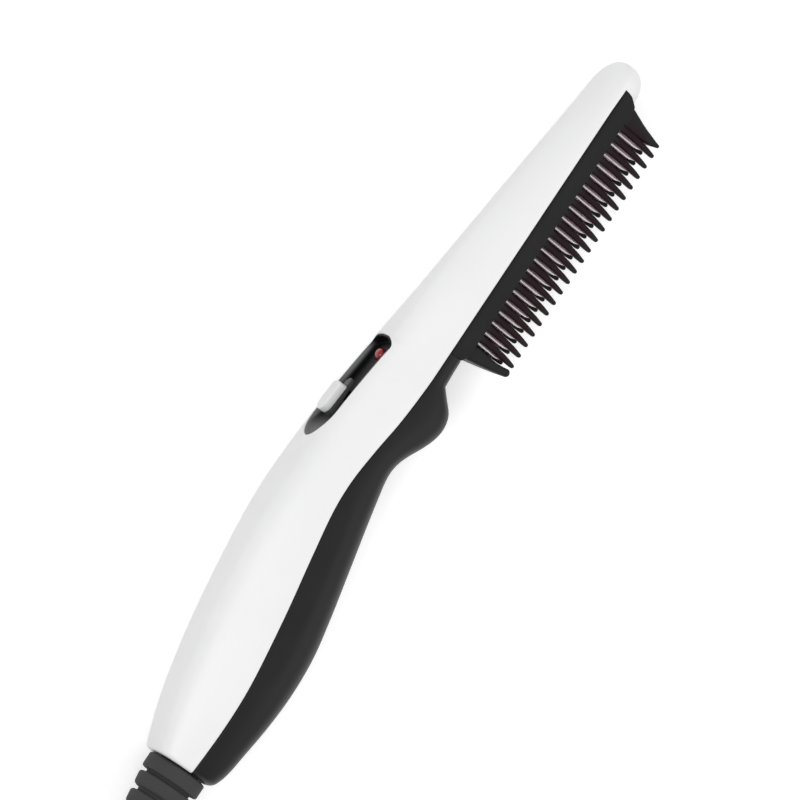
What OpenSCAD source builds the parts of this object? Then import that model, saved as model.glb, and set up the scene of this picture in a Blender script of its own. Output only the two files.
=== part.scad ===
// Corded hot comb: a two-shell handle with a slide switch in its back, a heated comb head
// with two rows of guard teeth, and a swivel cord that ends in a round-pin plug.
// The comb lies on its side. +X points along the comb to the nose, +Y to the switch side,
// -Y to the teeth and +Z up. The origin is under the middle of the comb, on the surface.

/* [Housing] */
// Thickness over the handle's two flat sides
handle_thick = 29; // [28:0.5:29.5]
// Thickness of the head beside the teeth
head_thick = 22; // [21.6:0.2:22.4]
// Wall thickness of the two shells
wall = 2; // [1.6:0.1:2.2]
// Gap along the parting line of the shells
parting_gap = 0.2; // [0.1:0.05:0.3]

/* [Comb] */
// Distance from tooth to tooth
tooth_pitch = 3.6; // [3.5:0.05:3.65]
// Teeth in each row, between the end guards
tooth_count = 20; // [12:1:20]
// Width of a tooth at its root, along the comb
tooth_w = 1.9; // [1.7:0.1:2.1]
// Thickness of a heating fin
fin_thick = 1.2; // [0.8:0.1:1.4]

/* [Switch] */
// Travel of the slide button from off to on
switch_travel = 3; // [2:0.5:3]
// Length of the white button cap
button_l = 9.6; // [8:0.2:10]
// Width of the white button cap
button_w = 5.6; // [5:0.2:6]
// Diameter of the pilot light's lens
lens_d = 3.4; // [3:0.1:3.6]

/* [Cord and plug] */
// Diameter of the round mains cord
cord_d = 5.6; // [5.4:0.1:5.8]
// Diameter of the boot where it meets the handle
boot_d = 18; // [17:0.5:18.5]
// Diameter of the boot at its free end
boot_tip_d = 9.6; // [9:0.2:11]
// Diameter of a plug pin
pin_d = 4; // [3.9:0.05:4.1]
// Length of a plug pin outside the plug's face
pin_l = 19; // [18:0.5:19.5]
// Distance between the plug pins
pin_spacing = 18.6; // [17.5:0.1:19.2]

/* [Hidden] */

mid_z = handle_thick / 2;       // height of the plane of symmetry
half_t = handle_thick / 2;
head_h = head_thick / 2;

// Ends of the housing along X
rear_x = -98;
nose_x = 136.3;
comb_x0 = 40;                   // seam between the lower shell and the comb frame
comb_x1 = 128.9;                // front end of the comb frame
part_y = 0.3;                   // height of the straight parting line over the comb

// Outlines of the housing as [x, y] points: the crest of the back, the parting line on the
// sides, the belly with its finger hook, and [x, half thickness]
back_line = [[-98, 4.9], [-90, 7.9], [-70, 13.2], [-45, 17.2], [-20, 19.3], [0, 19.7],
    [23, 18.3], [53, 14.2], [83, 10.8], [113, 7.5], [129, 6.1]];
part_line = [[-98, -5.2], [-83, -4.9], [-70, -4], [-48, -1], [-28, 2.5], [-15, 4.5], [-6, 4.7],
    [5, 3.4], [16, 1.6], [28, 0.5], [36, part_y], [130, part_y]];
belly_line = [[-98, -14.6], [-93, -16.4], [-85, -17.4], [-75, -18.5], [-64, -19], [-52, -18.3],
    [-40, -16], [-28, -13.2], [-17, -10.6], [-5, -7.9], [1, -6.7], [5, -6.8], [9, -8.2],
    [14, -10.9], [18, -12.6], [22, -13.2], [26, -12], [29.5, -8.4], [32, -6], [36, -5.6],
    [40, -5.6]];
side_line = [[-98, 10.4], [-90, 11.9], [-78, 13.6], [-62, 14.9], [-45, 15.2], [-28, 15.2],
    [-12, 14.6], [5, 13.2], [20, 11.8], [32, 11.1], [42, head_h], [130, head_h]];

// Index of the last point of p at or before x
function span(p, x, i = 0) = (i >= len(p) - 2 || x < p[i + 1][0]) ? i : span(p, x, i + 1);
// Slope of the smooth curve through p at point i
function slope(p, i) =
    let (a = max(i - 1, 0), b = min(i + 1, len(p) - 1))
    (p[b][1] - p[a][1]) / (p[b][0] - p[a][0]);
// Height at x of the smooth curve through the points p, a chain of Hermite cubics
function curve(p, x) =
    let (i = span(p, x), d = p[i + 1][0] - p[i][0], t = (x - p[i][0]) / d)
    p[i][1] * (1 + 2 * t) * pow(1 - t, 2) + p[i + 1][1] * t * t * (3 - 2 * t)
    + d * (slope(p, i) * t * pow(1 - t, 2) - slope(p, i + 1) * t * t * (1 - t));

// Cross-section of the housing: quarter superellipses above and below the parting line
section_n = 3;
arc_steps = 12;
function arc_point(h, y0, y1, a) =
    [y0 + (y1 - y0) * pow(sin(a), 2 / section_n),
     h * sign(90 - a) * pow(abs(cos(a)), 2 / section_n)];
// Points [y, z] from the near side over y1 to the far side
function half_section(h, y0, y1) =
    [for (i = [0:arc_steps]) arc_point(h, y0, y1, 180 * i / arc_steps)];

// Closed solid through rings of 3-D points; every ring has the same number of points
module loft(rings) {
    n = len(rings[0]);
    m = len(rings);
    points = [for (r = rings) each r];
    sides = [for (j = [0:m - 2]) for (i = [0:n - 1])
        let (a = j * n + i, b = j * n + (i + 1) % n)
        each [[a, b, b + n], [a, b + n, a + n]]];
    faces = concat(sides, [[for (i = [n - 1:-1:0]) i]], [[for (i = [0:n - 1]) (m - 1) * n + i]]);
    polyhedron(points, faces);
}

// Stations for the lofts: closer where the outline bends
hull_xs = [-98, -94, -90, -84, -76, -66, -56, -46, -36, -28, -20, -12, -5, 1, 5, 9, 14, 18, 22,
    26, 29.5, 32, 36, 40];
head_xs = [50, 65, 80, 95, 110, 120, comb_x1];

module to_mid() { translate([0, 0, mid_z]) children(); }

// Between the two flat sides
module side_slab() {
    translate([-160, -40, 0]) cube([320, 80, handle_thick]);
}

// --- white back shell -----------------------------------------------------------------

function ring3(x, flat) = [for (p = flat) [x, p[0], p[1]]];

// Nose: a superellipsoid that closes the head and reaches down past the comb
nose_n = 2.4;
nose_start = 127.4;
nose_top = 6.3;
nose_low = -6.1;
nose_mid = part_y;
function nose_scale(x) = pow(1 - pow((x - nose_start) / (nose_x - nose_start), nose_n), 1 / nose_n);

function upper_ring(x, inset, drop) =
    let (h = curve(side_line, x) - inset, y0 = curve(part_line, x) - drop,
         y1 = curve(back_line, x) - inset)
    ring3(x, concat(half_section(h, y0, y1),
        [for (k = [-0.5, 0, 0.5]) [y0 - 0.04 + 0.02 * abs(k), h * k]]));

function nose_ring(x) =
    let (s = nose_scale(x), h = head_h * s)
    ring3(x, concat(half_section(h, nose_mid, nose_mid + (nose_top - nose_mid) * s),
        [for (i = [1:3]) arc_point(h, nose_mid, nose_mid + (nose_low - nose_mid) * s, 180 - 45 * i)]));

module upper_outer() {
    loft(concat([for (x = concat(hull_xs, head_xs)) upper_ring(x, 0, -parting_gap / 2)],
        [for (x = [comb_x1 + 0.2, 130.6, 132.2, 133.8, 135, 135.8, nose_x - 0.05]) nose_ring(x)]));
}

module upper_inner() {
    loft([for (x = concat([rear_x + 2.4], [for (x = hull_xs) if (x > rear_x + 3) x],
        [50, 65, 80, 95, 110, 124])) upper_ring(x, wall, 3)]);
}

// Posts inside the shells that the case screws join
case_screw_x = [-78, -22, 36.2];
post_d = 5.6;
low_post_d = 6.6;
screw_d = 2.6;

// Recess in the back that the bezel fills
bezel_x0 = -2;
bezel_x1 = 34;
bezel_w = 13.2;
bezel_r = 5;
module bezel_outline(grow) {
    for (x = [bezel_x0 + bezel_r, bezel_x1 - bezel_r], z = [-1, 1])
        translate([x, z * (bezel_w / 2 - bezel_r)]) circle(r = bezel_r + grow, $fn = 48);
    translate([bezel_x0 - grow, -bezel_w / 2 + bezel_r])
        square([bezel_x1 - bezel_x0 + 2 * grow, bezel_w - 2 * bezel_r]);
    translate([bezel_x0 + bezel_r, -bezel_w / 2 - grow])
        square([bezel_x1 - bezel_x0 - 2 * bezel_r, bezel_w + 2 * grow]);
}
// Prism over an outline in the X-Z plane, from y0 to y1
module from_back(y0, y1) {
    translate([0, y1, 0]) rotate([90, 0, 0]) linear_extrude(y1 - y0) children();
}

bush_r = 8;                     // seat of the swivel bush in the rear wall
axis_y = -4.6;                  // axis of the swivel and the boot

module upper_shell() {
    color("white") intersection() {
        to_mid() difference() {
            union() {
                difference() {
                    upper_outer();
                    upper_inner();
                }
                for (x = case_screw_x) let (top = under_back(x), y0 = post_split(x))
                    translate([x, top, 0]) rotate([90, 0, 0]) cylinder(d = post_d, h = top - y0, $fn = 32);
                // collar and rib that the circuit board bears on
                translate([-22, under_back(-22), 0]) rotate([90, 0, 0])
                    cylinder(d = post_d + 3.4, h = under_back(-22) - board_top, $fn = 32);
                translate([-52, board_top, -6]) cube([1.6, under_back(-52) - board_top, 12]);
            }
            from_back(5, 30) bezel_outline(0.1);
            for (x = case_screw_x)
                translate([x, post_split(x) + 10, 0]) rotate([90, 0, 0])
                    cylinder(d = screw_d - 0.3, h = 20, $fn = 24);
            translate([rear_x - 1, axis_y, 0]) rotate([0, 90, 0]) cylinder(r = bush_r, h = 6, $fn = 64);
        }
        side_slab();
    }
}

// Level just inside the back's wall, where posts and ribs take root
function under_back(x) = curve(back_line, x) - wall + 0.5;

// Level where an upper and a lower post meet
function post_split(x) = curve(part_line, x) - 1.5;

// --- black lower shell ----------------------------------------------------------------

function lower_ring(x, inset, rise) =
    let (h = curve(side_line, x) - inset, y0 = curve(part_line, x) + rise,
         y1 = curve(belly_line, x) + inset)
    ring3(x, concat([for (i = [arc_steps:-1:0]) arc_point(h, y0, y1, 180 * i / arc_steps)],
        [for (k = [0.5, 0, -0.5]) [y0 + 0.04 - 0.02 * abs(k), h * k]]));

module lower_outer() {
    loft([for (x = [for (s = hull_xs) s == 40 ? comb_x0 - 0.15 : s]) lower_ring(x, 0, -parting_gap / 2)]);
}

module lower_inner() {
    loft([for (x = concat([rear_x + 2.4], [for (s = hull_xs) if (s > rear_x + 3 && s < 40) s],
        [comb_x0 + 3])) lower_ring(x, wall, 3)]);
}

screw_head_d = 4.2;
module lower_shell() {
    color("#2e2e2e") intersection() {
        to_mid() difference() {
            union() {
                difference() {
                    lower_outer();
                    lower_inner();
                }
                for (x = case_screw_x) let (y0 = curve(belly_line, x) + wall - 0.5, y1 = post_split(x) - 0.1)
                    translate([x, y1, 0]) rotate([90, 0, 0])
                        cylinder(d = low_post_d, h = y1 - y0, $fn = 32);
            }
            for (x = case_screw_x) {
                translate([x, 10, 0]) rotate([90, 0, 0]) cylinder(d = screw_d + 0.4, h = 40, $fn = 24);
                translate([x, curve(belly_line, x) + 3, 0]) rotate([90, 0, 0])
                    cylinder(d = screw_head_d + 0.3, h = 20, $fn = 32);
            }
            translate([rear_x - 1, axis_y, 0]) rotate([0, 90, 0]) cylinder(r = bush_r, h = 6, $fn = 64);
        }
        side_slab();
    }
}

module case_screws() {
    color("silver") to_mid() for (x = case_screw_x) let (y = curve(belly_line, x) + 3) {
        translate([x, y, 0]) rotate([90, 0, 0]) cylinder(d = screw_head_d, h = 1.6, $fn = 32);
        translate([x, post_split(x) + 6, 0]) rotate([90, 0, 0])
            cylinder(d = screw_d - 0.3, h = post_split(x) + 6 - y + 0.1, $fn = 24);
    }
}

// --- comb head ------------------------------------------------------------------------

gap0_x = 118;                   // centre of the gap between the nose guard and the first tooth
rail_y = -5.5;                  // lower edge of the comb's rails, where the teeth start
tip_y = -19.7;                  // level of the tooth tips
tail_gap_x = gap0_x - tooth_pitch * tooth_count;
rail_top_z = head_h - 0.2;      // outer face of a rail at its top
root_z = 9;                     // outer face of a tooth at its root
end_z = 5.2;                    // outer face of a tooth at its tip
tooth_tip_r = 0.6;
tooth_gap = tooth_pitch - tooth_w;
tooth_lean = 1;                 // how far a tooth's tip stands behind its root, towards the handle

// Middle of a leaning tooth at height y, where x is its place half way down
function leaning(x, y) = x + tooth_lean * ((y - tip_y) / (rail_y - tip_y) - 0.5);

// A tooth in the X-Y plane, from inside the rail to a round tip; each row is [y, half width]
tooth_rows = [[rail_y + 1.5, tooth_w / 2], [-12, tooth_w / 2], [-15, tooth_w * 0.44],
    [tip_y + tooth_tip_r, tooth_tip_r]];
module tooth_outline(x) {
    polygon(concat([for (r = tooth_rows) [leaning(x, r[0]) - r[1], r[0]]],
        [for (i = [3:-1:0]) [leaning(x, tooth_rows[i][0]) + tooth_rows[i][1], tooth_rows[i][0]]]));
    translate([leaning(x, tip_y + tooth_tip_r), tip_y + tooth_tip_r]) circle(r = tooth_tip_r, $fn = 20);
}

// End guards in the X-Y plane; their outer edges lean towards the teeth
guard_tip_r = 1.1;
nose_guard_tip = [123.3, tip_y + guard_tip_r];
tail_guard_tip = [45.1, tip_y + guard_tip_r];
module nose_guard_outline() {
    polygon([[gap0_x + 2.5, rail_y + 1.5], [gap0_x + 2.6, -12],
        nose_guard_tip - [guard_tip_r, 0], nose_guard_tip + [guard_tip_r, 0.2],
        [125.6, -12], [126.9, rail_y], [126.9, rail_y + 1.5]]);
    translate(nose_guard_tip) circle(r = guard_tip_r, $fn = 24);
}
module tail_guard_outline() {
    polygon([[tail_gap_x - tooth_gap / 2, rail_y + 1.5], [tail_gap_x - tooth_gap / 2, rail_y + 0.4],
        [tail_gap_x + 0.3, rail_y - 0.1], [tail_gap_x, -15],
        tail_guard_tip + [guard_tip_r, 0], tail_guard_tip - [guard_tip_r, -0.2],
        [42.4, -12], [41.2, rail_y], [41.2, rail_y + 1.5]]);
    translate(tail_guard_tip) circle(r = guard_tip_r, $fn = 24);
}

// Prism along X over an outline drawn in the Z-Y plane
module along_comb(x0, x1) {
    translate([x0, 0, 0]) rotate([0, 90, 0]) linear_extrude(x1 - x0) children();
}
// Wedge between two rows: outer and inner half widths at the top and at the tips
module rows_section(z_out0, z_in0, z_out1, z_in1) {
    for (s = [-1, 1])
        polygon([[s * z_in0, rail_y + 1.6], [s * z_out0, rail_y + 1.6],
            [s * z_out1, tip_y - 0.4], [s * z_in1, tip_y - 0.4]]);
}
slot_z = 6.2;                   // half width of the slot between the rails

module comb_frame() {
    color("#201a1c") to_mid() {
        // rails and end blocks
        difference() {
            intersection() {
                along_comb(comb_x0, comb_x1)
                    polygon([[-rail_top_z, part_y - parting_gap / 2], [rail_top_z, part_y - parting_gap / 2],
                        [rail_top_z, -2], [rail_top_z - 0.9, -3], [root_z + 0.3, rail_y],
                        [-root_z - 0.3, rail_y], [-rail_top_z + 0.9, -3], [-rail_top_z, -2]]);
                translate([0, 0, -20]) linear_extrude(40)
                    polygon([[comb_x0, 1], [comb_x1, 1], [comb_x1 - 0.5, -2.4], [127, rail_y + 0.7],
                        [126.9, rail_y], [comb_x0, rail_y]]);
            }
            translate([tail_gap_x - tooth_gap / 2, -30, -slot_z])
                cube([gap0_x - tail_gap_x + tooth_gap, 60, 2 * slot_z]);
            for (x = clamp_screw_x, z = [-1, 1]) translate([x, 2, z * clamp_screw_z])
                rotate([90, 0, 0]) cylinder(d = 1.2, h = 5.2, $fn = 24);
        }
        // teeth
        intersection() {
            translate([0, 0, -20]) linear_extrude(40)
                // the tooth at i = -1 stands against the nose guard
                for (i = [-1:tooth_count - 1]) tooth_outline(gap0_x - tooth_pitch * (i + 0.5));
            along_comb(comb_x0, comb_x1) rows_section(root_z, slot_z, end_z, 3.4);
        }
        // end guards, as wide as both rows
        intersection() {
            translate([0, 0, -20]) linear_extrude(40) {
                nose_guard_outline();
                tail_guard_outline();
            }
            along_comb(comb_x0, comb_x1)
                polygon([[-root_z, rail_y + 1.6], [root_z, rail_y + 1.6], [end_z, tip_y - 0.4],
                    [-end_z, tip_y - 0.4]]);
        }
    }
}

plate_y0 = -4.6;                // underside of the heating plate
plate_y1 = -2.6;                // its top, under the heater chips
fin_tip_y = -16.6;
plate_x0 = tail_gap_x - 0.4;
plate_x1 = gap0_x + 0.4;
// A fin in the X-Y plane, which leans as the teeth do
module fin_outline(x) {
    polygon([for (c = [[-1, fin_tip_y], [1, fin_tip_y], [1, plate_y0 + 0.5], [-1, plate_y0 + 0.5]])
        [leaning(x, c[1]) + c[0] * fin_thick / 2, c[1]]]);
}
module heating_plate() {
    color("#d9a0a6") to_mid() {
        translate([plate_x0, plate_y0, -slot_z + 0.3])
            cube([plate_x1 - plate_x0, plate_y1 - plate_y0, 2 * slot_z - 0.6]);
        intersection() {
            for (i = [0:tooth_count - 1])
                translate([0, 0, -10]) linear_extrude(20) fin_outline(gap0_x - tooth_pitch * (i + 0.5));
            along_comb(plate_x0, plate_x1)
                polygon([[-slot_z + 0.5, plate_y0 + 1], [slot_z - 0.5, plate_y0 + 1],
                    [3.6, fin_tip_y - 0.2], [-3.6, fin_tip_y - 0.2]]);
        }
    }
}

// Ceramic heater chips, side by side along the plate
chip_l = 16;
chip_t = 2;
chip_xs = [for (i = [0:3]) plate_x0 + 3 + 17.4 * i];
module heater_chips() {
    color("#c9c3b4") to_mid() for (x = chip_xs)
        translate([x, plate_y1 + 0.3, -5]) cube([chip_l, chip_t, 10]);
}

// Brass electrode strips under and over the chips
strip_x0 = plate_x0 + 1.5;
strip_l = 70;
module electrode_strips() {
    color("#b99a4b") to_mid() {
        translate([strip_x0, plate_y1, -4.5]) cube([strip_l, 0.3, 9]);
        translate([strip_x0, plate_y1 + 0.3 + chip_t, -4.5]) cube([strip_l, 0.3, 9]);
    }
}

stack_y = plate_y1 + 0.6 + chip_t;      // top of the heater stack
module insulating_sheet() {
    color("#c98a2c") to_mid() translate([plate_x0 + 0.8, stack_y, -5.6]) cube([71.4, 0.2, 11.2]);
}

// Sprung bridge that presses the heater stack on to the plate; it stands on the rails
clamp_y = stack_y + 0.2;
clamp_screw_x = [plate_x0 + 6, plate_x1 - 14];
clamp_screw_z = 7.4;
module heater_clamp() {
    color("#b8bcc0") to_mid() difference() {
        translate([plate_x0 + 2, clamp_y, -8.2]) cube([67, 1, 16.4]);
        for (x = clamp_screw_x, z = [-1, 1]) translate([x, clamp_y + 5, z * clamp_screw_z])
            rotate([90, 0, 0]) cylinder(d = 1.5, h = 10, $fn = 24);
    }
}
module clamp_screws() {
    color("silver") to_mid() for (x = clamp_screw_x, z = [-1, 1])
        translate([x, clamp_y + 1, z * clamp_screw_z]) {
            rotate([-90, 0, 0]) cylinder(d = 2.1, h = 0.7, $fn = 24);
            rotate([90, 0, 0]) cylinder(d = 1.2, h = 4, $fn = 24);
        }
}

module thermal_fuse() {
    color("#d8d2c0") to_mid() translate([plate_x0 + 24, clamp_y + 2.4, 0]) rotate([0, 90, 0]) {
        cylinder(d = 2.4, h = 9, $fn = 32);
        translate([0, 0, -4]) cylinder(d = 0.7, h = 4, $fn = 16);
        translate([0, 0, 9]) cylinder(d = 0.7, h = 4, $fn = 16);
    }
}

board_y = 6.4;                  // underside of the circuit board
board_t = 1.6;
module heater_leads() {
    color("#b03030") to_mid() for (s = [-1, 1])
        tube([[46.5, 1.1, 4.6 * s], [44, 1.4, 4.6 * s], [38, 2.4, 5.6 * s], [30, 2.5, 6.6 * s],
            [22, 2.8, 6.8 * s], [18, 4.2, 6.8 * s], [16, board_y - 0.9, 6.8 * s]], 0.75);
}

// --- switch and electronics -----------------------------------------------------------

board_x0 = -60;
board_x1 = 33;
switch_x = 11;                  // middle of the button in its off position
lens_x = 28.7;
module circuit_board() {
    color("#2f6b3a") to_mid() difference() {
        translate([board_x0, board_y, -8.2]) cube([board_x1 - board_x0, board_t, 16.4]);
        for (x = case_screw_x) translate([x, board_y + 5, 0]) rotate([90, 0, 0])
            cylinder(d = post_d + 0.6, h = 10, $fn = 32);
    }
}

module dropper_capacitor() {
    color("#8c2f24") to_mid() translate([-47, board_y - 9, -4]) cube([17, 9, 8]);
}

module board_resistors() {
    color("#c8b58a") to_mid() {
        for (z = [-5, 5]) translate([-12, board_y - 1.9, z]) rotate([0, 90, 0]) {
            cylinder(d = 2.6, h = 8, $fn = 24);
            for (x = [-2.2, 8]) translate([0, 0, x]) cylinder(d = 0.7, h = 2.2, $fn = 16);
        }
        translate([-56, board_y - 3, -3]) cube([5, 3, 6]);
    }
}

board_top = board_y + board_t;
module indicator_led() {
    color("#e8d8d8") to_mid() translate([lens_x, board_top, 0]) {
        translate([-1.5, 0, -1.5]) cube([3, 1.2, 3]);
        translate([0, 1.2, 0]) rotate([-90, 0, 0]) cylinder(d = 2.8, h = 2.2, $fn = 32);
    }
}

// Bezel: a dished panel below the crest of the back, with a slot for the button's stem
function floor_y(x) = curve(back_line, x) - 2.9;    // visible floor of the dish
bezel_floor = [for (x = [bezel_x0 + 0.4, 3, 8, 12, 16, 20, 24, 28, bezel_x1 - 0.4]) [x, floor_y(x)]];
dish_wall = 1.1;
stem_l = 3;
module bezel_dish(y_add) {
    translate([0, 0, -10]) linear_extrude(20)
        polygon(concat([for (p = bezel_floor) p + [0, y_add]],
            [[bezel_x1 - 0.4, 30], [bezel_x0 + 0.4, 30]]));
}
module switch_bezel() {
    color("#101012") to_mid() difference() {
        intersection() {
            from_back(10, 30) bezel_outline(0);
            translate([0, 0, -20]) linear_extrude(40)
                polygon(concat([for (p = bezel_floor) p - [0, 1.3]],
                    [for (i = [len(bezel_floor) - 1:-1:0]) bezel_floor[i] + [0, 2.1]]));
        }
        intersection() {
            bezel_dish(0);
            from_back(10, 30) bezel_outline(-dish_wall);
        }
        translate([switch_x - stem_l / 2 - 0.4, 8, -1.6]) cube([stem_l + switch_travel + 0.8, 20, 3.2]);
        translate([lens_x, 8, 0]) rotate([-90, 0, 0]) cylinder(d = lens_d + 0.1, h = 20, $fn = 48);
    }
}

module led_lens() {
    color("#c4202a") to_mid() translate([lens_x, floor_y(lens_x) - 1.5, 0]) {
        rotate([-90, 0, 0]) cylinder(d = lens_d, h = 1, $fn = 48);
        translate([0, 1, 0]) intersection() {
            sphere(d = lens_d, $fn = 48);
            translate([-3, -0.1, -3]) cube([6, 4, 6]);
        }
    }
}

module switch_body() {
    color("#3a3d42") to_mid() difference() {
        translate([switch_x + switch_travel / 2 - 7, board_top, -3.6]) cube([14, 5, 7.2]);
        translate([switch_x + switch_travel / 2 - 5, board_top + 2.5, -1.8]) cube([10, 5, 3.6]);
    }
}

stem_top = floor_y(switch_x - 5) + 0.35;
module switch_slider() {
    color("#d8d8d8") to_mid() {
        translate([switch_x - 3, board_top + 2.7, -1.5]) cube([6, 1.6, 3]);
        translate([switch_x - 1.5, board_top + 4.2, -1.2]) cube([3, 1.8, 2.4]);
    }
}

// Button: a carrier that slides on the floor of the bezel, and a cap over it
carrier_l = button_l + 2.4;
module slide_button() {
    color("#f2f2f2") to_mid() {
        // stem through the slot, on the switch's slider
        translate([switch_x - stem_l / 2, board_top + 6, -1.3])
            cube([stem_l, stem_top - board_top - 5.9, 2.6]);
        translate([switch_x - button_l / 2, stem_top, -button_w / 2 + 0.9])
            cube([carrier_l - 0.6, 1.2, button_w - 1.8]);
        // cap: straight towards the light, round towards the cord
        intersection() {
            from_back(stem_top + 1.1, 30) {
                translate([switch_x - button_l / 2 + button_w / 2, 0]) circle(d = button_w, $fn = 48);
                translate([switch_x - button_l / 2 + button_w / 2, -button_w / 2])
                    square([button_l - button_w / 2, button_w]);
            }
            translate([0, 0, -10]) linear_extrude(20)
                polygon([[switch_x - 8, stem_top + 1], [switch_x + 8, stem_top + 1],
                    [switch_x + 8, curve(back_line, switch_x + 8) + 0.5],
                    [switch_x, curve(back_line, switch_x) + 0.7],
                    [switch_x - 8, curve(back_line, switch_x - 8) + 0.5]]);
        }
    }
}

// --- swivel, boot and leads -----------------------------------------------------------

neck_r = 6;                     // spindle's journal in the bush
bush_x1 = rear_x + 3;
module turn(x) { translate([x, axis_y, 0]) rotate([0, 90, 0]) children(); }

module swivel_bush() {
    color("#d9d4c4") to_mid() turn(rear_x + 0.1) difference() {
        cylinder(r = bush_r, h = 2.9, $fn = 64);
        translate([0, 0, -1]) cylinder(r = neck_r + 0.05, h = 6, $fn = 64);
    }
}

module swivel_spindle() {
    color("#3c3c3c") to_mid() difference() {
        union() {
            turn(rear_x - 3) cylinder(r = neck_r, h = 6.3, $fn = 64);
            turn(bush_x1 + 0.3) cylinder(r = 7.4, h = 1.4, $fn = 64);
            turn(bush_x1 + 1.7) cylinder(r = 4.5, h = 10, $fn = 64);
        }
        turn(rear_x - 4) cylinder(d = cord_d - 1.6, h = 20, $fn = 48);
    }
}

ring_xs = [bush_x1 + 3, bush_x1 + 7.5];
module slip_rings() {
    color("#c8a850") to_mid() for (x = ring_xs) turn(x) difference() {
        cylinder(r = 5.3, h = 2, $fn = 64);
        translate([0, 0, -1]) cylinder(r = 4.5, h = 4, $fn = 64);
    }
}

module brush_springs() {
    color("#c9a227") to_mid() for (i = [0, 1]) translate([ring_xs[i] + 0.3, axis_y, 0]) {
        translate([0, 5.7, -3]) cube([1.4, 0.4, 8.4]);
        translate([0, 6, 5]) cube([1.4, 1.9, 0.4]);
    }
}
module brush_block() {
    color("#d9d4c4") to_mid() difference() {
        translate([bush_x1 + 2.8, axis_y + 7, -5]) cube([8, 1.6, 10]);
        for (x = ring_xs) translate([x + 1, axis_y + 6, -3.5]) rotate([-90, 0, 0])
            cylinder(d = 1, h = 6, $fn = 24);
    }
}

module supply_leads() {
    color("#3355aa") to_mid() for (i = [0, 1]) let (s = i == 0 ? 1 : -1)
        tube([[bush_x1 + 11.1, axis_y + 8, 4 * s], [-80, 3.3, 5.2 * s], [-75, 3.4, 6.2 * s],
            [-66, 4.8, 6.6 * s], [-58, board_y - 1, 6.6 * s]], 0.8);
}

// Boot: a collar, then rings divided by grooves, tapering to the cord
boot_x = rear_x - 0.4;
boot_l = 37.9;
boot_end = boot_x - boot_l;
ring_count = 6;
collar_l = 4.6;
ring_step = (boot_l - collar_l - 4) / ring_count;
function boot_r(t) = boot_d / 2 + (boot_tip_d - boot_d) / 2 * pow(t, 0.9);
module strain_relief() {
    color("#3b3b3b") to_mid() difference() {
        union() {
            turn(boot_x - boot_l) cylinder(r = boot_tip_d / 2 - 0.7, h = boot_l - 0.5, $fn = 64);
            turn(boot_x - collar_l) cylinder(r = boot_d / 2, h = collar_l, $fn = 64);
            for (i = [0:ring_count - 1])
                turn(boot_x - collar_l - ring_step * (i + 1)) cylinder(
                    r1 = boot_r((i + 0.95) / ring_count), r2 = boot_r((i + 0.25) / ring_count),
                    h = ring_step - 1.3, $fn = 64);
        }
        turn(rear_x - 3.1) cylinder(r = neck_r, h = 10, $fn = 64);
        turn(boot_end - 1) cylinder(d = cord_d, h = 60, $fn = 48);
    }
}

// Cord inside the boot, with its two cores inside the spindle
module cord_end() {
    color("#262626") to_mid() {
        turn(boot_end) cylinder(d = cord_d, h = rear_x - 3.1 - boot_end, $fn = 48);
        for (s = [-1, 1]) translate([0, 0, s * 0.98]) turn(rear_x - 3.2)
            cylinder(d = 1.9, h = 17.5, $fn = 24);
    }
}

// --- cord, hank and plug --------------------------------------------------------------

cord_r = cord_d / 2;
// Route of the cord from the boot to the hank: [x, y, height above the surface]
cord_route = [[-136.45, -4.6, 14.5], [-141, -4.6, 14.4], [-146, -4.4, 13.8], [-151, -3.8, 12.5],
    [-157, -2.4, 10.2], [-163, -0.3, 7.5], [-169, 2.5, 5.2], [-175, 5.9, 3.6], [-181, 9.6, 2.9],
    [-188, 13.8, 2.8], [-195, 17.6, 2.8], [-202, 20.6, 2.8], [-209, 22.2, 2.8]];
// Route from the near end of the hank up to the plug on its top
plug_route = [[-206, 16.8, 13.7], [-211, 16.8, 13.9], [-216.9, 16.3, 14.3], [-222.8, 14.7, 15.2],
    [-228.6, 12.1, 16.7], [-234.5, 8.4, 18.9], [-240.4, 4.7, 21], [-246.3, 2.1, 22.5],
    [-252.1, 0.5, 23.4], [-257.9, 0, 23.7]];

// Unit vectors of a route: along it, level across it, and the third one
function unit(v) = v / norm(v);
function along(p, i) = unit(p[min(i + 1, len(p) - 1)] - p[max(i - 1, 0)]);
function across(t) = unit(cross([0, 0, 1], t));
// Tube of radius r through the points p
tube_sides = 10;
module tube(p, r) {
    loft([for (i = [0:len(p) - 1]) let (t = along(p, i), u = across(t), v = cross(t, u))
        [for (k = [0:tube_sides - 1]) let (a = -360 * k / tube_sides)
            p[i] + r * (cos(a) * u + sin(a) * v)]]);
}
module mains_cord() {
    color("#262626") {
        tube(cord_route, cord_r);
        tube(plug_route, cord_r);
    }
}

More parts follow.
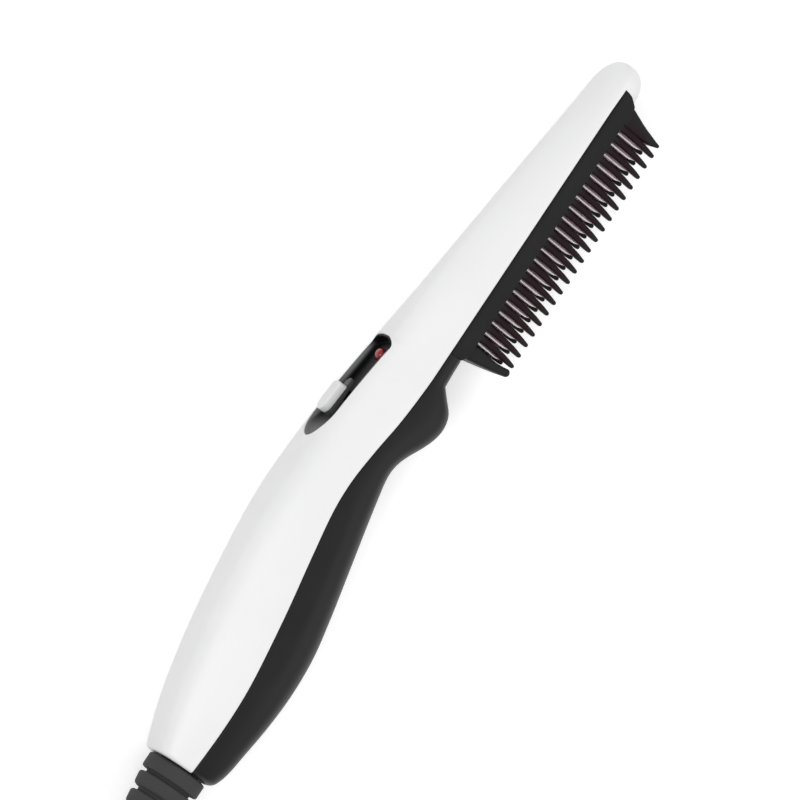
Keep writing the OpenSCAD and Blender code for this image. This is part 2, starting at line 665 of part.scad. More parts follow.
// Hank: a racetrack bundle, drawn together at the tie
hank_x = -257;
hank_run = 46;                  // half the length of the runs
hank_end_w = 25.2;              // half width of the bundle at its round ends
hank_waist_w = 17.2;            // half width under the tie
hank_h = 3 * cord_d;
tie_w = 9;
tie_t = 1.2;
function hank_width(u) =
    hank_waist_w + (hank_end_w - hank_waist_w) * pow(sin(90 * min(1, max(0, (abs(u) - 4) / (hank_run - 4)))), 2);
module hank_bundle() {
    us = [for (u = [-hank_run:2:hank_run]) u];
    linear_extrude(hank_h) polygon(concat([for (u = us) [hank_x + u, hank_width(u)]],
        [for (i = [len(us) - 1:-1:0]) [hank_x + us[i], -hank_width(us[i])]]));
    for (s = [-1, 1]) translate([hank_x + s * hank_run, 0, 0])
        cylinder(r = hank_end_w, h = hank_h, $fn = 64);
}
module cord_hank() {
    color("#262626") difference() {
        hank_bundle();
        translate([hank_x - tie_w / 2 - 0.2, -40, -1]) cube([tie_w + 0.4, 80, 1 + tie_t + 0.1]);
    }
}

module cord_tie() {
    color("#dcdcdc") translate([hank_x - tie_w / 2, 0, 0]) difference() {
        translate([0, -hank_waist_w - tie_t - 0.6, 0])
            cube([tie_w, 2 * (hank_waist_w + tie_t + 0.6), hank_h + tie_t + 0.3]);
        translate([-1, -hank_waist_w - 0.5, tie_t])
            cube([tie_w + 2, 2 * hank_waist_w + 1, hank_h - tie_t + 0.15]);
    }
}

// Flat two-pole plug: a body lying on the hank, pins away from the handle. Each pin has a
// thin root, which holds it in the body and carries the insulating sleeve.
plug_x = -258;
plug_y = 0;
plug_l = 34;
plug_w = 33;
plug_h = 13.8;
plug_z = hank_h + plug_h / 2;
root_d = 2.8;
root_l = 8;
sleeve_d = 3.3;
sleeve_l = 10;
pin_tip = 1.2;
// The plug is drawn from its cord end along +X and then turned to point along -X
module turned() {
    translate([plug_x, plug_y, 0]) rotate([0, 0, 180]) children();
}
module at_pins(x) {
    for (s = [-1, 1]) translate([x, s * pin_spacing / 2, plug_z]) rotate([0, 90, 0]) children();
}
module plug_body() {
    color("#262626") turned() difference() {
        union() {
            // grip
            translate([0, 0, plug_z]) rotate([0, 90, 0]) cylinder(r1 = 4.6, r2 = 6.9, h = 12, $fn = 48);
            translate([9, 0, hank_h]) linear_extrude(plug_h) {
                polygon([[0, -7], [14, 1 - plug_w / 2], [plug_l - 9, -plug_w / 2],
                    [plug_l - 9, plug_w / 2], [14, plug_w / 2 - 1], [0, 7]]);
            }
            at_pins(plug_l - 1) cylinder(d = sleeve_d, h = sleeve_l + 1, $fn = 48);
        }
        at_pins(plug_l - root_l) cylinder(d = root_d, h = 40, $fn = 48);
    }
}
module plug_pins() {
    color("#d0d0d0") turned() at_pins(plug_l - root_l) {
        cylinder(d = root_d, h = root_l + sleeve_l, $fn = 48);
        translate([0, 0, root_l + sleeve_l]) cylinder(d = pin_d, h = pin_l - sleeve_l - pin_tip, $fn = 48);
        translate([0, 0, root_l + pin_l - pin_tip])
            cylinder(r1 = pin_d / 2, r2 = pin_d / 2 - 0.9, h = pin_tip, $fn = 48);
    }
}

upper_shell();
lower_shell();
comb_frame();
heating_plate();
heater_chips();
electrode_strips();
insulating_sheet();
heater_clamp();
clamp_screws();
thermal_fuse();
heater_leads();
circuit_board();
dropper_capacitor();
board_resistors();
indicator_led();
led_lens();
switch_bezel();
switch_body();
switch_slider();
slide_button();
case_screws();
swivel_bush();
swivel_spindle();
slip_rings();
brush_springs();
brush_block();
supply_leads();
strain_relief();
cord_end();
mains_cord();
cord_hank();
cord_tie();
plug_body();
plug_pins();
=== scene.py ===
"""Corded hot comb: the looks of its shells, comb head, switch, boot, cord and plug.

Lengths in the classes are millimetres in the comb's own frame: +X runs along the comb to
its nose, +Y to the switch side, -Y to the teeth and +Z up from the surface it lies on.
Shapes are worked out about the middle plane, z = 0, and lifted to MID_Z at the end.
"""
import logging
import math
from dataclasses import dataclass
from enum import Enum
from typing import Callable, Sequence

import bmesh
import bpy
import numpy as np
from mathutils import Matrix, Vector


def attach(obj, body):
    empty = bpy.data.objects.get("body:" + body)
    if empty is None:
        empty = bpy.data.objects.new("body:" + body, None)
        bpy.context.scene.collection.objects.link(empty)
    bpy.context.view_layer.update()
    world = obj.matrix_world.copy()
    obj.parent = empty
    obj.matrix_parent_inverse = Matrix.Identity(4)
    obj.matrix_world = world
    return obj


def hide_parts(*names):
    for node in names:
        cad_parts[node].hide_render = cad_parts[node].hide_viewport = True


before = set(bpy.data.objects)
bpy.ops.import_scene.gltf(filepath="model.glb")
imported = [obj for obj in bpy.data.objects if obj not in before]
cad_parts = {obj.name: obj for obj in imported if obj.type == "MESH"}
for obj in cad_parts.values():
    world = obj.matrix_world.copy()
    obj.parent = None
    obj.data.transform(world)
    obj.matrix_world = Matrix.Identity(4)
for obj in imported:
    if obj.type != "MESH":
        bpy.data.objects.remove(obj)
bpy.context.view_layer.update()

Array = np.ndarray
Points = tuple[tuple[float, ...], ...]
Pair = tuple[Array, Array]
Span = tuple[float, float]
Triple = tuple[float, float, float]
Height = Callable[[Array, Array], Array]
Ring = tuple[float, Height]
LOG = logging.getLogger("hot_comb")
MM = 0.001  # in metres
MID_Z = 14.5  # height of the middle plane over the surface
WELD = 1.5e-6  # metres within which points become one
# mesh attribute of painted light: where a second tone stands in for light and shade
LIGHT_MASK = "painted_light"
QUARTER = np.linspace(0, np.pi / 2, 6)  # turns of a small rounding


# --- lines and curves -----------------------------------------------------------------


@dataclass(frozen=True)
class Spline:
    """Natural cubic spline through given (x, y) points."""

    points: Points

    def at(self, x: Array | float) -> Array:
        """Height of the line: a cubic in each span, with matching bends at the points.

        Args:
            x: places along the line, in mm.

        Returns:
            The heights, in mm.
        """
        px, py = np.array(self.points, float).T
        n, h = len(px), np.diff(px)
        rows, rhs = np.eye(n), np.zeros(n)
        i = np.arange(1, n - 1)
        rows[i, i - 1], rows[i, i], rows[i, i + 1] = h[:-1], 2 * (h[:-1] + h[1:]), h[1:]
        rhs[i] = 6 * np.diff(np.diff(py) / h)
        bend = np.linalg.solve(rows, rhs)
        x = np.asarray(x, float)
        k = np.clip(np.searchsorted(px, x, side="right") - 1, 0, n - 2)
        a, b = px[k + 1] - x, x - px[k]
        return ((bend[k] * a**3 + bend[k + 1] * b**3) / (6 * h[k])
                + (py[k] / h[k] - bend[k] * h[k] / 6) * a
                + (py[k + 1] / h[k] - bend[k + 1] * h[k] / 6) * b)


@dataclass(frozen=True)
class Chain:
    """Line through given (x, y) points that hardly swings past them."""

    points: Points

    def at(self, x: Array | float) -> Array:
        """Height of the line: Hermite cubics whose slope at a point is that of its neighbours.

        Args:
            x: places along the line, in mm.

        Returns:
            The heights, in mm.
        """
        px, py = np.array(self.points, float).T
        x = np.asarray(x, float)
        last = len(px) - 1
        lo, hi = np.maximum(np.arange(last + 1) - 1, 0), np.minimum(np.arange(last + 1) + 1, last)
        slope = (py[hi] - py[lo]) / (px[hi] - px[lo])
        k = np.clip(np.searchsorted(px, x, side="right") - 1, 0, last - 1)
        d = px[k + 1] - px[k]
        t = (x - px[k]) / d
        return (py[k] * (1 + 2 * t) * (1 - t)**2 + py[k + 1] * t**2 * (3 - 2 * t)
                + d * (slope[k] * t * (1 - t)**2 - slope[k + 1] * t**2 * (1 - t)))


@dataclass(frozen=True)
class Line:
    """Straight lines through given (x, y) points, level past the first and last."""

    points: Points

    def at(self, x: Array | float) -> Array:
        """Height of the line."""
        return np.interp(x, *np.array(self.points, float).T)


def even(start: float, stop: float, step: float) -> Array:
    """Evenly spaced values from start to stop, at most step apart."""
    return np.linspace(start, stop, max(2, int(math.ceil(abs(stop - start) / step)) + 1))


def joined(*runs: Array) -> Array:
    """Rising values of several runs, each value once."""
    values = np.sort(np.concatenate(runs))
    return values[np.concatenate([[True], np.diff(values) > 1e-3])]


def smooth(t: Array | float, low: float = 0.0, high: float = 1.0) -> Array:
    """0 at low and below, 1 at high and above, and a cubic between them."""
    u = np.clip((np.asarray(t, float) - low) / (high - low), 0, 1)
    return u * u * (3 - 2 * u)


def capped(value: Array, limit: float, soft: float = 0.35) -> Array:
    """Value bent over to a flat limit: a parabola joins the two within soft of it.

    Args:
        value: numbers of either sign.
        limit: the most that the size of a value may be.
        soft: half the width of the bend.

    Returns:
        The capped numbers, with their signs.
    """
    size = np.abs(value)
    bent = size - np.clip(size - (limit - soft), 0, None)**2 / (4 * soft)
    return np.sign(value) * np.where(size > limit + soft, limit, bent)


def rounded(turn: Array, power: Array | float) -> Pair:
    """Point of a unit superellipse in the direction turn.

    Args:
        turn: angles from the first axis, in radians.
        power: 2 for a circle; more makes it squarer.

    Returns:
        The two coordinates: the cosine and sine over their power mean.
    """
    c, s = np.cos(turn), np.sin(turn)
    size = (np.abs(c)**power + np.abs(s)**power)**(-1 / power)
    return c * size, s * size


def points3(x: Array | float, y: Array | float, z: Array | float) -> Array:
    """Stacks three arrays that broadcast together into points."""
    return np.stack(np.broadcast_arrays(x, y, z), -1).astype(float)


def smooth_path(points: Array, step: float) -> Array:
    """Curve through points in space, each span the Catmull-Rom cubic of its four points.

    Args:
        points: the points to pass through.
        step: distance between samples.

    Returns:
        (n, 3) points.
    """
    p = np.vstack([2 * points[0] - points[1], points, 2 * points[-1] - points[-2]])
    out = []
    for a, b, c, d in zip(p[:-3], p[1:-2], p[2:-1], p[3:]):
        t = np.linspace(0, 1, max(2, int(np.linalg.norm(c - b) / step)), endpoint=False)[:, None]
        out.append(0.5 * (2 * b + (c - a) * t + (2 * a - 5 * b + 4 * c - d) * t**2
                          + (3 * b - 3 * c + d - a) * t**3))
    return np.vstack([*out, p[-2:-1]])


# --- meshes ---------------------------------------------------------------------------


class Mesher:
    """Collects grids of points in mm and welds them into one mesh."""

    def __init__(self, lift: float = MID_Z) -> None:
        """Starts with no points.

        Args:
            lift: what is added to every z.
        """
        self.points: list[Array] = []
        self.quads: list[Array] = []
        self.total = 0
        self.lift = lift

    def grid(self, points: Array, wrap_rows: bool = False, wrap_cols: bool = False) -> "Mesher":
        """Adds a surface given as rows and columns of points.

        Args:
            points: (rows, columns, 3).
            wrap_rows: the last row joins the first.
            wrap_cols: the last column joins the first.

        Returns:
            The mesher itself.
        """
        n, m = points.shape[:2]
        i, j = np.meshgrid(np.arange(n if wrap_rows else n - 1),
                           np.arange(m if wrap_cols else m - 1), indexing="ij")
        corners = [(i, j), (i + 1, j), (i + 1, j + 1), (i, j + 1)]
        quads = np.stack([(a % n) * m + b % m for a, b in corners], -1).reshape(-1, 4)
        self.quads.append(quads + self.total)
        self.points.append(points.reshape(-1, 3) + (0, 0, self.lift))
        self.total += n * m
        return self

    def ruled(self, one: Array, other: Array, steps: int = 1) -> "Mesher":
        """Adds straight lines from each point of one row to the same point of another."""
        t = np.linspace(0, 1, steps + 1)[:, None, None]
        return self.grid(one[None] * (1 - t) + other[None] * t)

    def loft(self, rings: Array) -> "Mesher":
        """Adds a closed skin over rings of points, with a flat fan over each end."""
        ends = [np.broadcast_to(r.mean(0), r.shape)[None] for r in (rings[0], rings[-1])]
        return self.grid(np.concatenate([ends[0], rings, ends[1]]), wrap_cols=True)

    def lathe(self, start: Sequence[float], profile: Array, sides: int = 72) -> "Mesher":
        """Turns a profile about a line along X.

        Args:
            start: a point on the line.
            profile: (n, 2) places along the line and distances from it.
            sides: points in a full turn.

        Returns:
            The mesher itself.
        """
        a = np.linspace(0, 2 * np.pi, sides, endpoint=False)
        along, out = profile[:, :1], profile[:, 1:]
        rings = points3(start[0] + along, start[1] + out * np.cos(a), start[2] + out * np.sin(a))
        return self.grid(rings, wrap_cols=True)

    def tube(self, path: Array, radius: float, sides: int = 16) -> "Mesher":
        """Adds a round tube along a path, closed at both ends.

        At each point the circle's first axis is level and the second is upright to it.

        Args:
            path: (n, 3) points of its centreline.
            radius: its radius.
            sides: points round it.

        Returns:
            The mesher itself.
        """
        along = np.gradient(path, axis=0)
        along /= np.linalg.norm(along, axis=1, keepdims=True)
        level = np.cross((0.0, 0.0, 1.0), along)
        level /= np.linalg.norm(level, axis=1, keepdims=True)
        upright = np.cross(along, level)
        a = np.linspace(0, 2 * np.pi, sides, endpoint=False)[None, :, None]
        across = np.cos(a) * level[:, None] + np.sin(a) * upright[:, None]
        return self.loft(path[:, None] + radius * across)

    def block(self, x: Span, y: Span, half: float) -> "Mesher":
        """Adds a plain closed block, half wide on each side of the middle plane."""
        ends, faces = [x[0], x[1], x[1], x[0]], [half, half, -half, -half]
        return self.loft(np.stack([points3(ends, level, faces) for level in y]))

    def post(self, x: float, radius: float, y: Span, sides: int = 40) -> "Mesher":
        """Adds a closed cylinder along Y whose axis lies in the middle plane.

        Args:
            x: place of its axis.
            radius: its radius.
            y: heights of its two ends.
            sides: points round it.

        Returns:
            The mesher itself.
        """
        a = np.linspace(0, 2 * np.pi, sides, endpoint=False)
        along, off = x + radius * np.cos(a), radius * np.sin(a)
        return self.loft(np.stack([points3(along, level, off) for level in y]))

    def build(self, name: str, sharp: float = 34.0) -> bpy.types.Object:
        """Makes the object: welds the seams, turns the faces outwards and shades them.

        Args:
            name: name of the piece.
            sharp: edges that turn more than this many degrees stay crisp.

        Returns:
            The object, at the origin, in metres.
        """
        mesh = bpy.data.meshes.new(name)
        mesh.from_pydata(np.concatenate(self.points) * MM, [], np.concatenate(self.quads).tolist())
        work = bmesh.new()
        work.from_mesh(mesh)
        bmesh.ops.remove_doubles(work, verts=work.verts, dist=WELD)
        bmesh.ops.dissolve_degenerate(work, edges=work.edges, dist=WELD / 10)
        bmesh.ops.recalc_face_normals(work, faces=work.faces)
        work.to_mesh(mesh)
        work.free()
        mesh.shade_smooth()
        mesh.set_sharp_from_angle(angle=math.radians(sharp))
        piece = bpy.data.objects.new(name, mesh)
        bpy.context.scene.collection.objects.link(piece)
        return piece


class Body(Enum):
    """Rigid bodies of the comb."""

    COMB = "root"
    BUTTON = "button"
    BOOT = "boot"


def mark(piece: bpy.types.Object, amount: Callable[[Array], Array]) -> None:
    """Writes the mask of the painted light: where a second tone stands in for light and shade.

    Args:
        piece: the object.
        amount: works out the mask, 0 to 1, from (n, 3) points in mm.
    """
    place = np.array([v.co for v in piece.data.vertices]) / MM
    mask = piece.data.attributes.new(LIGHT_MASK, "FLOAT", "POINT")
    mask.data.foreach_set("value", amount(place).astype(np.float32))


def settle(piece: bpy.types.Object, finish: "Finish", body: Body, slot: str,
           *nodes: str) -> bpy.types.Object:
    """Gives a piece its finish and body, and lets it stand for CAD nodes.

    Args:
        piece: the object.
        finish: what it is made of.
        body: the body that it moves with.
        slot: the material slot of the record; not used.
        *nodes: CAD nodes that it replaces.

    Returns:
        The same object.
    """
    piece.data.materials.clear()
    piece.data.materials.append(finish.material())
    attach(piece, body.value)
    if nodes:
        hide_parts(*nodes)
    LOG.info("%s: %d faces, moves with %s", piece.name, len(piece.data.polygons), body.value)
    return piece


# --- materials ------------------------------------------------------------------------


class Value:
    """A number socket of a material's graph, with the usual operators."""

    def __init__(self, graph: "Graph", socket: bpy.types.NodeSocket) -> None:
        """Wraps an output socket."""
        self.graph, self.socket = graph, socket

    def maths(self, operation: str, *others: "Value | float") -> "Value":
        """Adds a Math node whose first value is this one."""
        node = self.graph.node("ShaderNodeMath", {"operation": operation},
                               {0: self, **{k + 1: v for k, v in enumerate(others)}})
        return Value(self.graph, node.outputs[0])

    def __add__(self, other: "Value | float") -> "Value":
        """Sum."""
        return self.maths("ADD", other)

    __radd__ = __add__

    def __mul__(self, other: "Value | float") -> "Value":
        """Product."""
        return self.maths("MULTIPLY", other)

    __rmul__ = __mul__

    def __sub__(self, other: "Value | float") -> "Value":
        """Difference."""
        return self.maths("SUBTRACT", other)

    def __rsub__(self, other: float) -> "Value":
        """A number less this value: the value times -1, plus the number."""
        return self.maths("MULTIPLY_ADD", -1.0, other)

    def ramp(self, low: float, high: float) -> "Value":
        """0 at low and below, 1 at high and above, smooth between."""
        node = self.graph.node("ShaderNodeMapRange", {"interpolation_type": "SMOOTHSTEP"},
                               {"Value": self, "From Min": low, "From Max": high})
        return Value(self.graph, node.outputs[0])


class Graph:
    """Node graph of one material around a Principled shader."""

    def __init__(self, name: str) -> None:
        """Makes the material with its shader and output.

        Args:
            name: name of the material.
        """
        self.material = bpy.data.materials.new(name)
        self.material.use_nodes = True
        self.tree = self.material.node_tree
        self.shader = self.tree.nodes["Principled BSDF"]
        self.place = self.node("ShaderNodeTexCoord", {}, {}).outputs["Object"]

    def node(self, kind: str, settings: dict, values: dict) -> bpy.types.Node:
        """Adds a node.

        Args:
            kind: Blender's name of the node's type.
            settings: properties, which are set first.
            values: socket name or number to a number, colour, Value or output socket.

        Returns:
            The node.
        """
        node = self.tree.nodes.new(kind)
        for key, setting in settings.items():
            setattr(node, key, setting)
        for key, value in values.items():
            self.feed(node.inputs[key], value)
        return node

    def feed(self, socket: bpy.types.NodeSocket, value: object) -> None:
        """Links a value or an output to a socket, or sets the socket's own value.

        Args:
            socket: the input socket.
            value: a Value, an output socket, a number, or a colour without its alpha.
        """
        if isinstance(value, Value):
            value = value.socket
        if isinstance(value, bpy.types.NodeSocket):
            self.tree.links.new(value, socket)
        else:
            socket.default_value = (*value, 1.0) if socket.type == "RGBA" else value

    def surface(self, values: dict) -> None:
        """Sets sockets of the Principled shader."""
        for key, value in values.items():
            self.feed(self.shader.inputs[key], value)

    def noise(self, size: float, detail: float = 2.0, stretch: Triple = (1, 1, 1)) -> Value:
        """Noise from 0 to 1.

        Args:
            size: about how many mm its features are across.
            detail: octaves that are added to the coarsest one.
            stretch: factors on the place; less than 1 draws the noise out along that axis.

        Returns:
            The noise.
        """
        where = self.place
        if stretch != (1, 1, 1):
            values = {"Vector": self.place, "Scale": stretch}
            where = self.node("ShaderNodeMapping", {}, values).outputs[0]
        values = {"Vector": where, "Scale": 1 / (size * MM), "Detail": detail, "Roughness": 0.55}
        return Value(self, self.node("ShaderNodeTexNoise", {}, values).outputs["Fac"])

    def mix(self, amount: Value, low: Sequence[float],
            high: Sequence[float]) -> bpy.types.NodeSocket:
        """Mixes two colours by an amount."""
        values = {0: amount, 6: low, 7: high}
        return self.node("ShaderNodeMix", {"data_type": "RGBA"}, values).outputs[2]

    def bump(self, height: Value, depth: float) -> bpy.types.NodeSocket:
        """Normal of a surface that rises by depth mm where height is 1."""
        values = {"Strength": 1.0, "Distance": depth * MM, "Height": height}
        return self.node("ShaderNodeBump", {}, values).outputs[0]


Colour = Triple


def dimmed(colour: Colour, by: float) -> Colour:
    """Colour with each channel multiplied by a number."""
    return tuple(c * by for c in colour)


@dataclass(frozen=True)
class Finish:
    """Base of the finishes: a named material that is made once."""

    name: str

    def dress(self, graph: Graph) -> None:
        """Fills the graph given; each finish has its own way."""
        raise NotImplementedError

    def material(self) -> bpy.types.Material:
        """Makes the material at first use, and finds it again later.

        Returns:
            The material.
        """
        found = bpy.data.materials.get(self.name)
        if found:
            return found
        graph = Graph(self.name)
        self.dress(graph)
        return graph.material


@dataclass(frozen=True)
class Moulded(Finish):
    """Moulded plastic or rubber: fine spark grain, slow tone drift and faint handling marks.

    The colour falls to its tone-fold in the drift, the grain is depth mm deep, and gloss is
    the level of the mirrored light.
    """

    colour: Colour = (0.5, 0.5, 0.5)
    tone: float = 0.94
    rough: float = 0.4
    drift: float = 0.06
    grain: float = 0.25
    depth: float = 0.004
    gloss: float = 0.5

    def dress(self, graph: Graph) -> None:
        """Colour drifts over about 20 mm; grain gives bump and breaks the gloss.

        Args:
            graph: the material's graph.
        """
        cloud = graph.noise(22.0, 3.0)
        grain = graph.noise(self.grain, 2.0)
        marks = graph.noise(1.6, 4.0, (0.25, 1.0, 1.0)).ramp(0.58, 0.8)
        uneven = (cloud + grain * 0.6 + marks * 0.8) * self.drift
        dark = dimmed(self.colour, self.tone)
        graph.surface({
            "Base Color": graph.mix(cloud.ramp(0.35, 0.65), dark, self.colour),
            "Roughness": uneven + (self.rough - self.drift),
            "Specular IOR Level": self.gloss,
            "Normal": graph.bump(grain, self.depth),
        })


@dataclass(frozen=True)
class Metal(Finish):
    """Plated, coated or rolled metal with fine drawn lines."""

    colour: Colour = (0.7, 0.7, 0.7)
    rough: float = 0.25
    lines: Triple = (0.05, 1.0, 1.0)
    metallic: float = 1.0

    def dress(self, graph: Graph) -> None:
        """Stretched noise scores the surface; slow noise dulls its tone and gloss.

        Args:
            graph: the material's graph.
        """
        lines = graph.noise(0.12, 3.0, self.lines)
        tarnish = graph.noise(5.0, 3.0).ramp(0.45, 0.75)
        graph.surface({
            "Base Color": graph.mix(tarnish, self.colour, dimmed(self.colour, 0.85)),
            "Metallic": self.metallic,
            "Roughness": lines * 0.16 + tarnish * 0.08 + (self.rough - 0.08),
            "Normal": graph.bump(lines, 0.002),
        })


@dataclass(frozen=True)
class PaintedLightMoulded(Moulded):
    """Moulded plastic that turns to a second tone, which is painted light and shade, where a mesh
    attribute, LIGHT_MASK, says so.
    """

    second: Colour = (0.1, 0.1, 0.1)
    duller: float = 0.25

    def dress(self, graph: Graph) -> None:
        """The second tone, painted light and shade, mixes over the first, and its surface is
        duller.

        Args:
            graph: the material's graph.
        """
        super().dress(graph)
        mask = graph.node("ShaderNodeAttribute", {"attribute_name": LIGHT_MASK}, {})
        amount = Value(graph, mask.outputs["Fac"])
        first, rough = (graph.shader.inputs[key].links[0].from_socket
                        for key in ("Base Color", "Roughness"))
        graph.surface({
            "Base Color": graph.mix(amount, first, self.second),
            "Roughness": amount * self.duller + Value(graph, rough),
        })


@dataclass(frozen=True)
class Lens(Finish):
    """Coloured clear plastic of the pilot light, with fine facets inside."""

    colour: Colour = (0.6, 0.02, 0.03)

    def dress(self, graph: Graph) -> None:
        """Facets break up the tone under a polished skin."""
        facets = graph.noise(0.5, 1.0)
        graph.surface({
            "Base Color": graph.mix(facets.ramp(0.3, 0.7), dimmed(self.colour, 0.7), self.colour),
            "Roughness": facets * 0.05 + 0.1,
            "Coat Weight": 0.5,
            "Coat Roughness": 0.05,
        })


@dataclass(frozen=True)
class Sheath(Finish):
    """Soft cord sheath: matt, with a faint extrusion ripple and dust."""

    colour: Colour = (0.02, 0.02, 0.02)

    def dress(self, graph: Graph) -> None:
        """Ripple and dust come from two noises; dust is paler and rougher.

        Args:
            graph: the material's graph.
        """
        ripple = graph.noise(1.4, 2.0)
        dust = graph.noise(4.0, 5.0).ramp(0.55, 0.85)
        graph.surface({
            "Base Color": graph.mix(dust, self.colour, tuple(c + 0.02 for c in self.colour)),
            "Roughness": dust * 0.15 + ripple * 0.08 + 0.4,
            "Specular IOR Level": 0.4,
            "Normal": graph.bump(ripple, 0.02),
        })


@dataclass(frozen=True)
class Woven(Finish):
    """Hook-and-loop band: a plain weave of fine threads."""

    colour: Colour = (0.6, 0.6, 0.6)
    thread: float = 0.5

    def dress(self, graph: Graph) -> None:
        """Two crossed wave patterns make the weave, and noise frays it.

        Args:
            graph: the material's graph.
        """
        values = {"Vector": graph.place, "Scale": 0.31 / (self.thread * MM), "Distortion": 0.4}
        warp, weft = (Value(graph, graph.node(
            "ShaderNodeTexWave", {"bands_direction": axis}, values).outputs["Fac"])
            for axis in ("X", "Z"))
        weave = warp.maths("MAXIMUM", weft)
        fray = graph.noise(0.3, 4.0)
        graph.surface({
            "Base Color": graph.mix(weave * fray, dimmed(self.colour, 0.6), self.colour),
            "Roughness": fray * 0.1 + 0.8,
            "Sheen Weight": 0.3,
            "Normal": graph.bump(weave + fray, 0.12),
        })


WHITE = Moulded("white_shell_plastic", (0.90, 0.90, 0.905), 0.985, 0.42, 0.05, 0.22, 0.0015, 0.45)
BLACK = Moulded("black_shell_plastic", (0.014, 0.014, 0.0143), 0.85, 0.46, 0.08, 0.3, 0.004, 0.22)
# the comb's second tone is a painted maroon cast, standing for the shaded pink of the fins
TINES = PaintedLightMoulded("comb_plastic", (0.018, 0.017, 0.0175), 0.85, 0.45, 0.08, 0.3, 0.004, 0.11,
                second=(0.014, 0.0045, 0.007), duller=0.0)
# the bezel's second tone is painted light: a paler grey where light falls on the dish's walls and
# ramp
BEZEL = PaintedLightMoulded("bezel_plastic", (0.004, 0.004, 0.0045), 0.85, 0.42, 0.06, 0.3, 0.002, 0.06,
                second=(0.19, 0.19, 0.192), duller=0.25)
CAP = Moulded("button_plastic", (0.85, 0.85, 0.855), 0.97, 0.38, 0.05, 0.2, 0.002, 0.45)
CARRIER = Moulded("carrier_plastic", (0.05, 0.05, 0.051), 0.85, 0.45, 0.06, 0.3, 0.003, 0.3)
RUBBER = Moulded("boot_rubber", (0.034, 0.034, 0.034), 0.88, 0.6, 0.08, 0.35, 0.01, 0.25)
PLUG = Moulded("plug_plastic", (0.022, 0.022, 0.022), 0.85, 0.5, 0.1, 0.4, 0.02, 0.4)
CERAMIC = Moulded("heater_ceramic", (0.6, 0.56, 0.48), 0.85, 0.75, 0.1, 0.4, 0.02, 0.3)
BOARD = Moulded("board_mask", (0.03, 0.15, 0.05), 0.8, 0.35, 0.1, 0.5, 0.01, 0.5)
EPOXY = Moulded("capacitor_epoxy", (0.35, 0.06, 0.04), 0.85, 0.3, 0.08, 0.8, 0.02, 0.5)
LACQUER = Moulded("resistor_lacquer", (0.55, 0.45, 0.28), 0.85, 0.45, 0.08, 0.5, 0.01, 0.5)
NYLON = Moulded("natural_nylon", (0.68, 0.65, 0.55), 0.93, 0.45, 0.08, 0.4, 0.006, 0.45)
SWITCH = Moulded("switch_plastic", (0.05, 0.055, 0.06), 0.85, 0.5, 0.08, 0.3, 0.006, 0.45)
RED_WIRE = Moulded("red_sleeve", (0.4, 0.03, 0.03), 0.9, 0.5, 0.08, 0.6, 0.01, 0.45)
BLUE_WIRE = Moulded("blue_sleeve", (0.04, 0.1, 0.4), 0.9, 0.5, 0.08, 0.6, 0.01, 0.45)
FILM = Moulded("amber_film", (0.6, 0.28, 0.05), 0.9, 0.2, 0.05, 1.0, 0.003, 0.5)
RESIN = Moulded("led_resin", (0.85, 0.8, 0.8), 0.95, 0.1, 0.04, 1.0, 0.001, 0.5)
BRASS = Metal("rolled_brass", (0.75, 0.56, 0.26), 0.3)
PINK = Metal("pink_ceramic_coat", (1.0, 0.80, 0.86), 0.1, (1.0, 0.08, 0.08), 0.5)
STEEL = Metal("rolled_spring_steel", (0.55, 0.56, 0.58), 0.32)
ZINC = Metal("zinc_plate", (0.5, 0.5, 0.52), 0.35, (1.0, 1.0, 1.0))
NICKEL = Metal("nickel_plate", (0.78, 0.76, 0.72), 0.2, (0.1, 1.0, 1.0))
RED_LENS = Lens("red_lens", (0.40, 0.013, 0.02))
CORD = Sheath("cord_sheath", (0.02, 0.02, 0.02))
BAND = Woven("cord_band", (0.62, 0.62, 0.62))

INSIDE = {
    "heater_chips": CERAMIC, "electrode_strips": BRASS, "insulating_sheet": FILM,
    "heater_clamp": STEEL, "clamp_screws": ZINC, "thermal_fuse": CERAMIC,
    "heater_leads": RED_WIRE, "circuit_board": BOARD, "dropper_capacitor": EPOXY,
    "board_resistors": LACQUER, "indicator_led": RESIN, "switch_body": SWITCH,
    "switch_slider": NYLON, "case_screws": ZINC, "swivel_bush": NYLON,
    "swivel_spindle": RUBBER, "slip_rings": BRASS, "brush_springs": BRASS,
    "brush_block": NYLON, "supply_leads": BLUE_WIRE, "cord_end": CORD,
}


def dress_inside() -> None:
    """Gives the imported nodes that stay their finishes."""
    for name, finish in INSIDE.items():
        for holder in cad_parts[name].material_slots:
            holder.material = finish.material()
        LOG.info("%s: %s", name, finish.name)


# --- view -----------------------------------------------------------------------------


@dataclass(frozen=True)
class View:
    """Long-lens camera over the comb's back, turned so that the nose points up right."""

    place: Triple = (-404.3, 1532.0, 4161.2)
    right: Triple = (0.55205, -0.76218, 0.33812)
    down: Triple = (-0.82827, -0.54795, 0.11713)
    lens: float = 714.1

    def make(self) -> None:
        """Makes the camera and sets it as the scene's."""
        data = bpy.data.cameras.new("camera")
        data.sensor_fit, data.sensor_width, data.lens = "AUTO", 36.0, self.lens
        data.clip_start, data.clip_end = 0.1, 20.0
        camera = bpy.data.objects.new("camera", data)
        right, up = Vector(self.right).normalized(), -Vector(self.down).normalized()
        turn = Matrix((right, up, right.cross(up))).transposed().to_4x4()
        camera.matrix_world = Matrix.Translation(Vector(self.place) * MM) @ turn
        bpy.context.scene.collection.objects.link(camera)
        bpy.context.scene.camera = camera


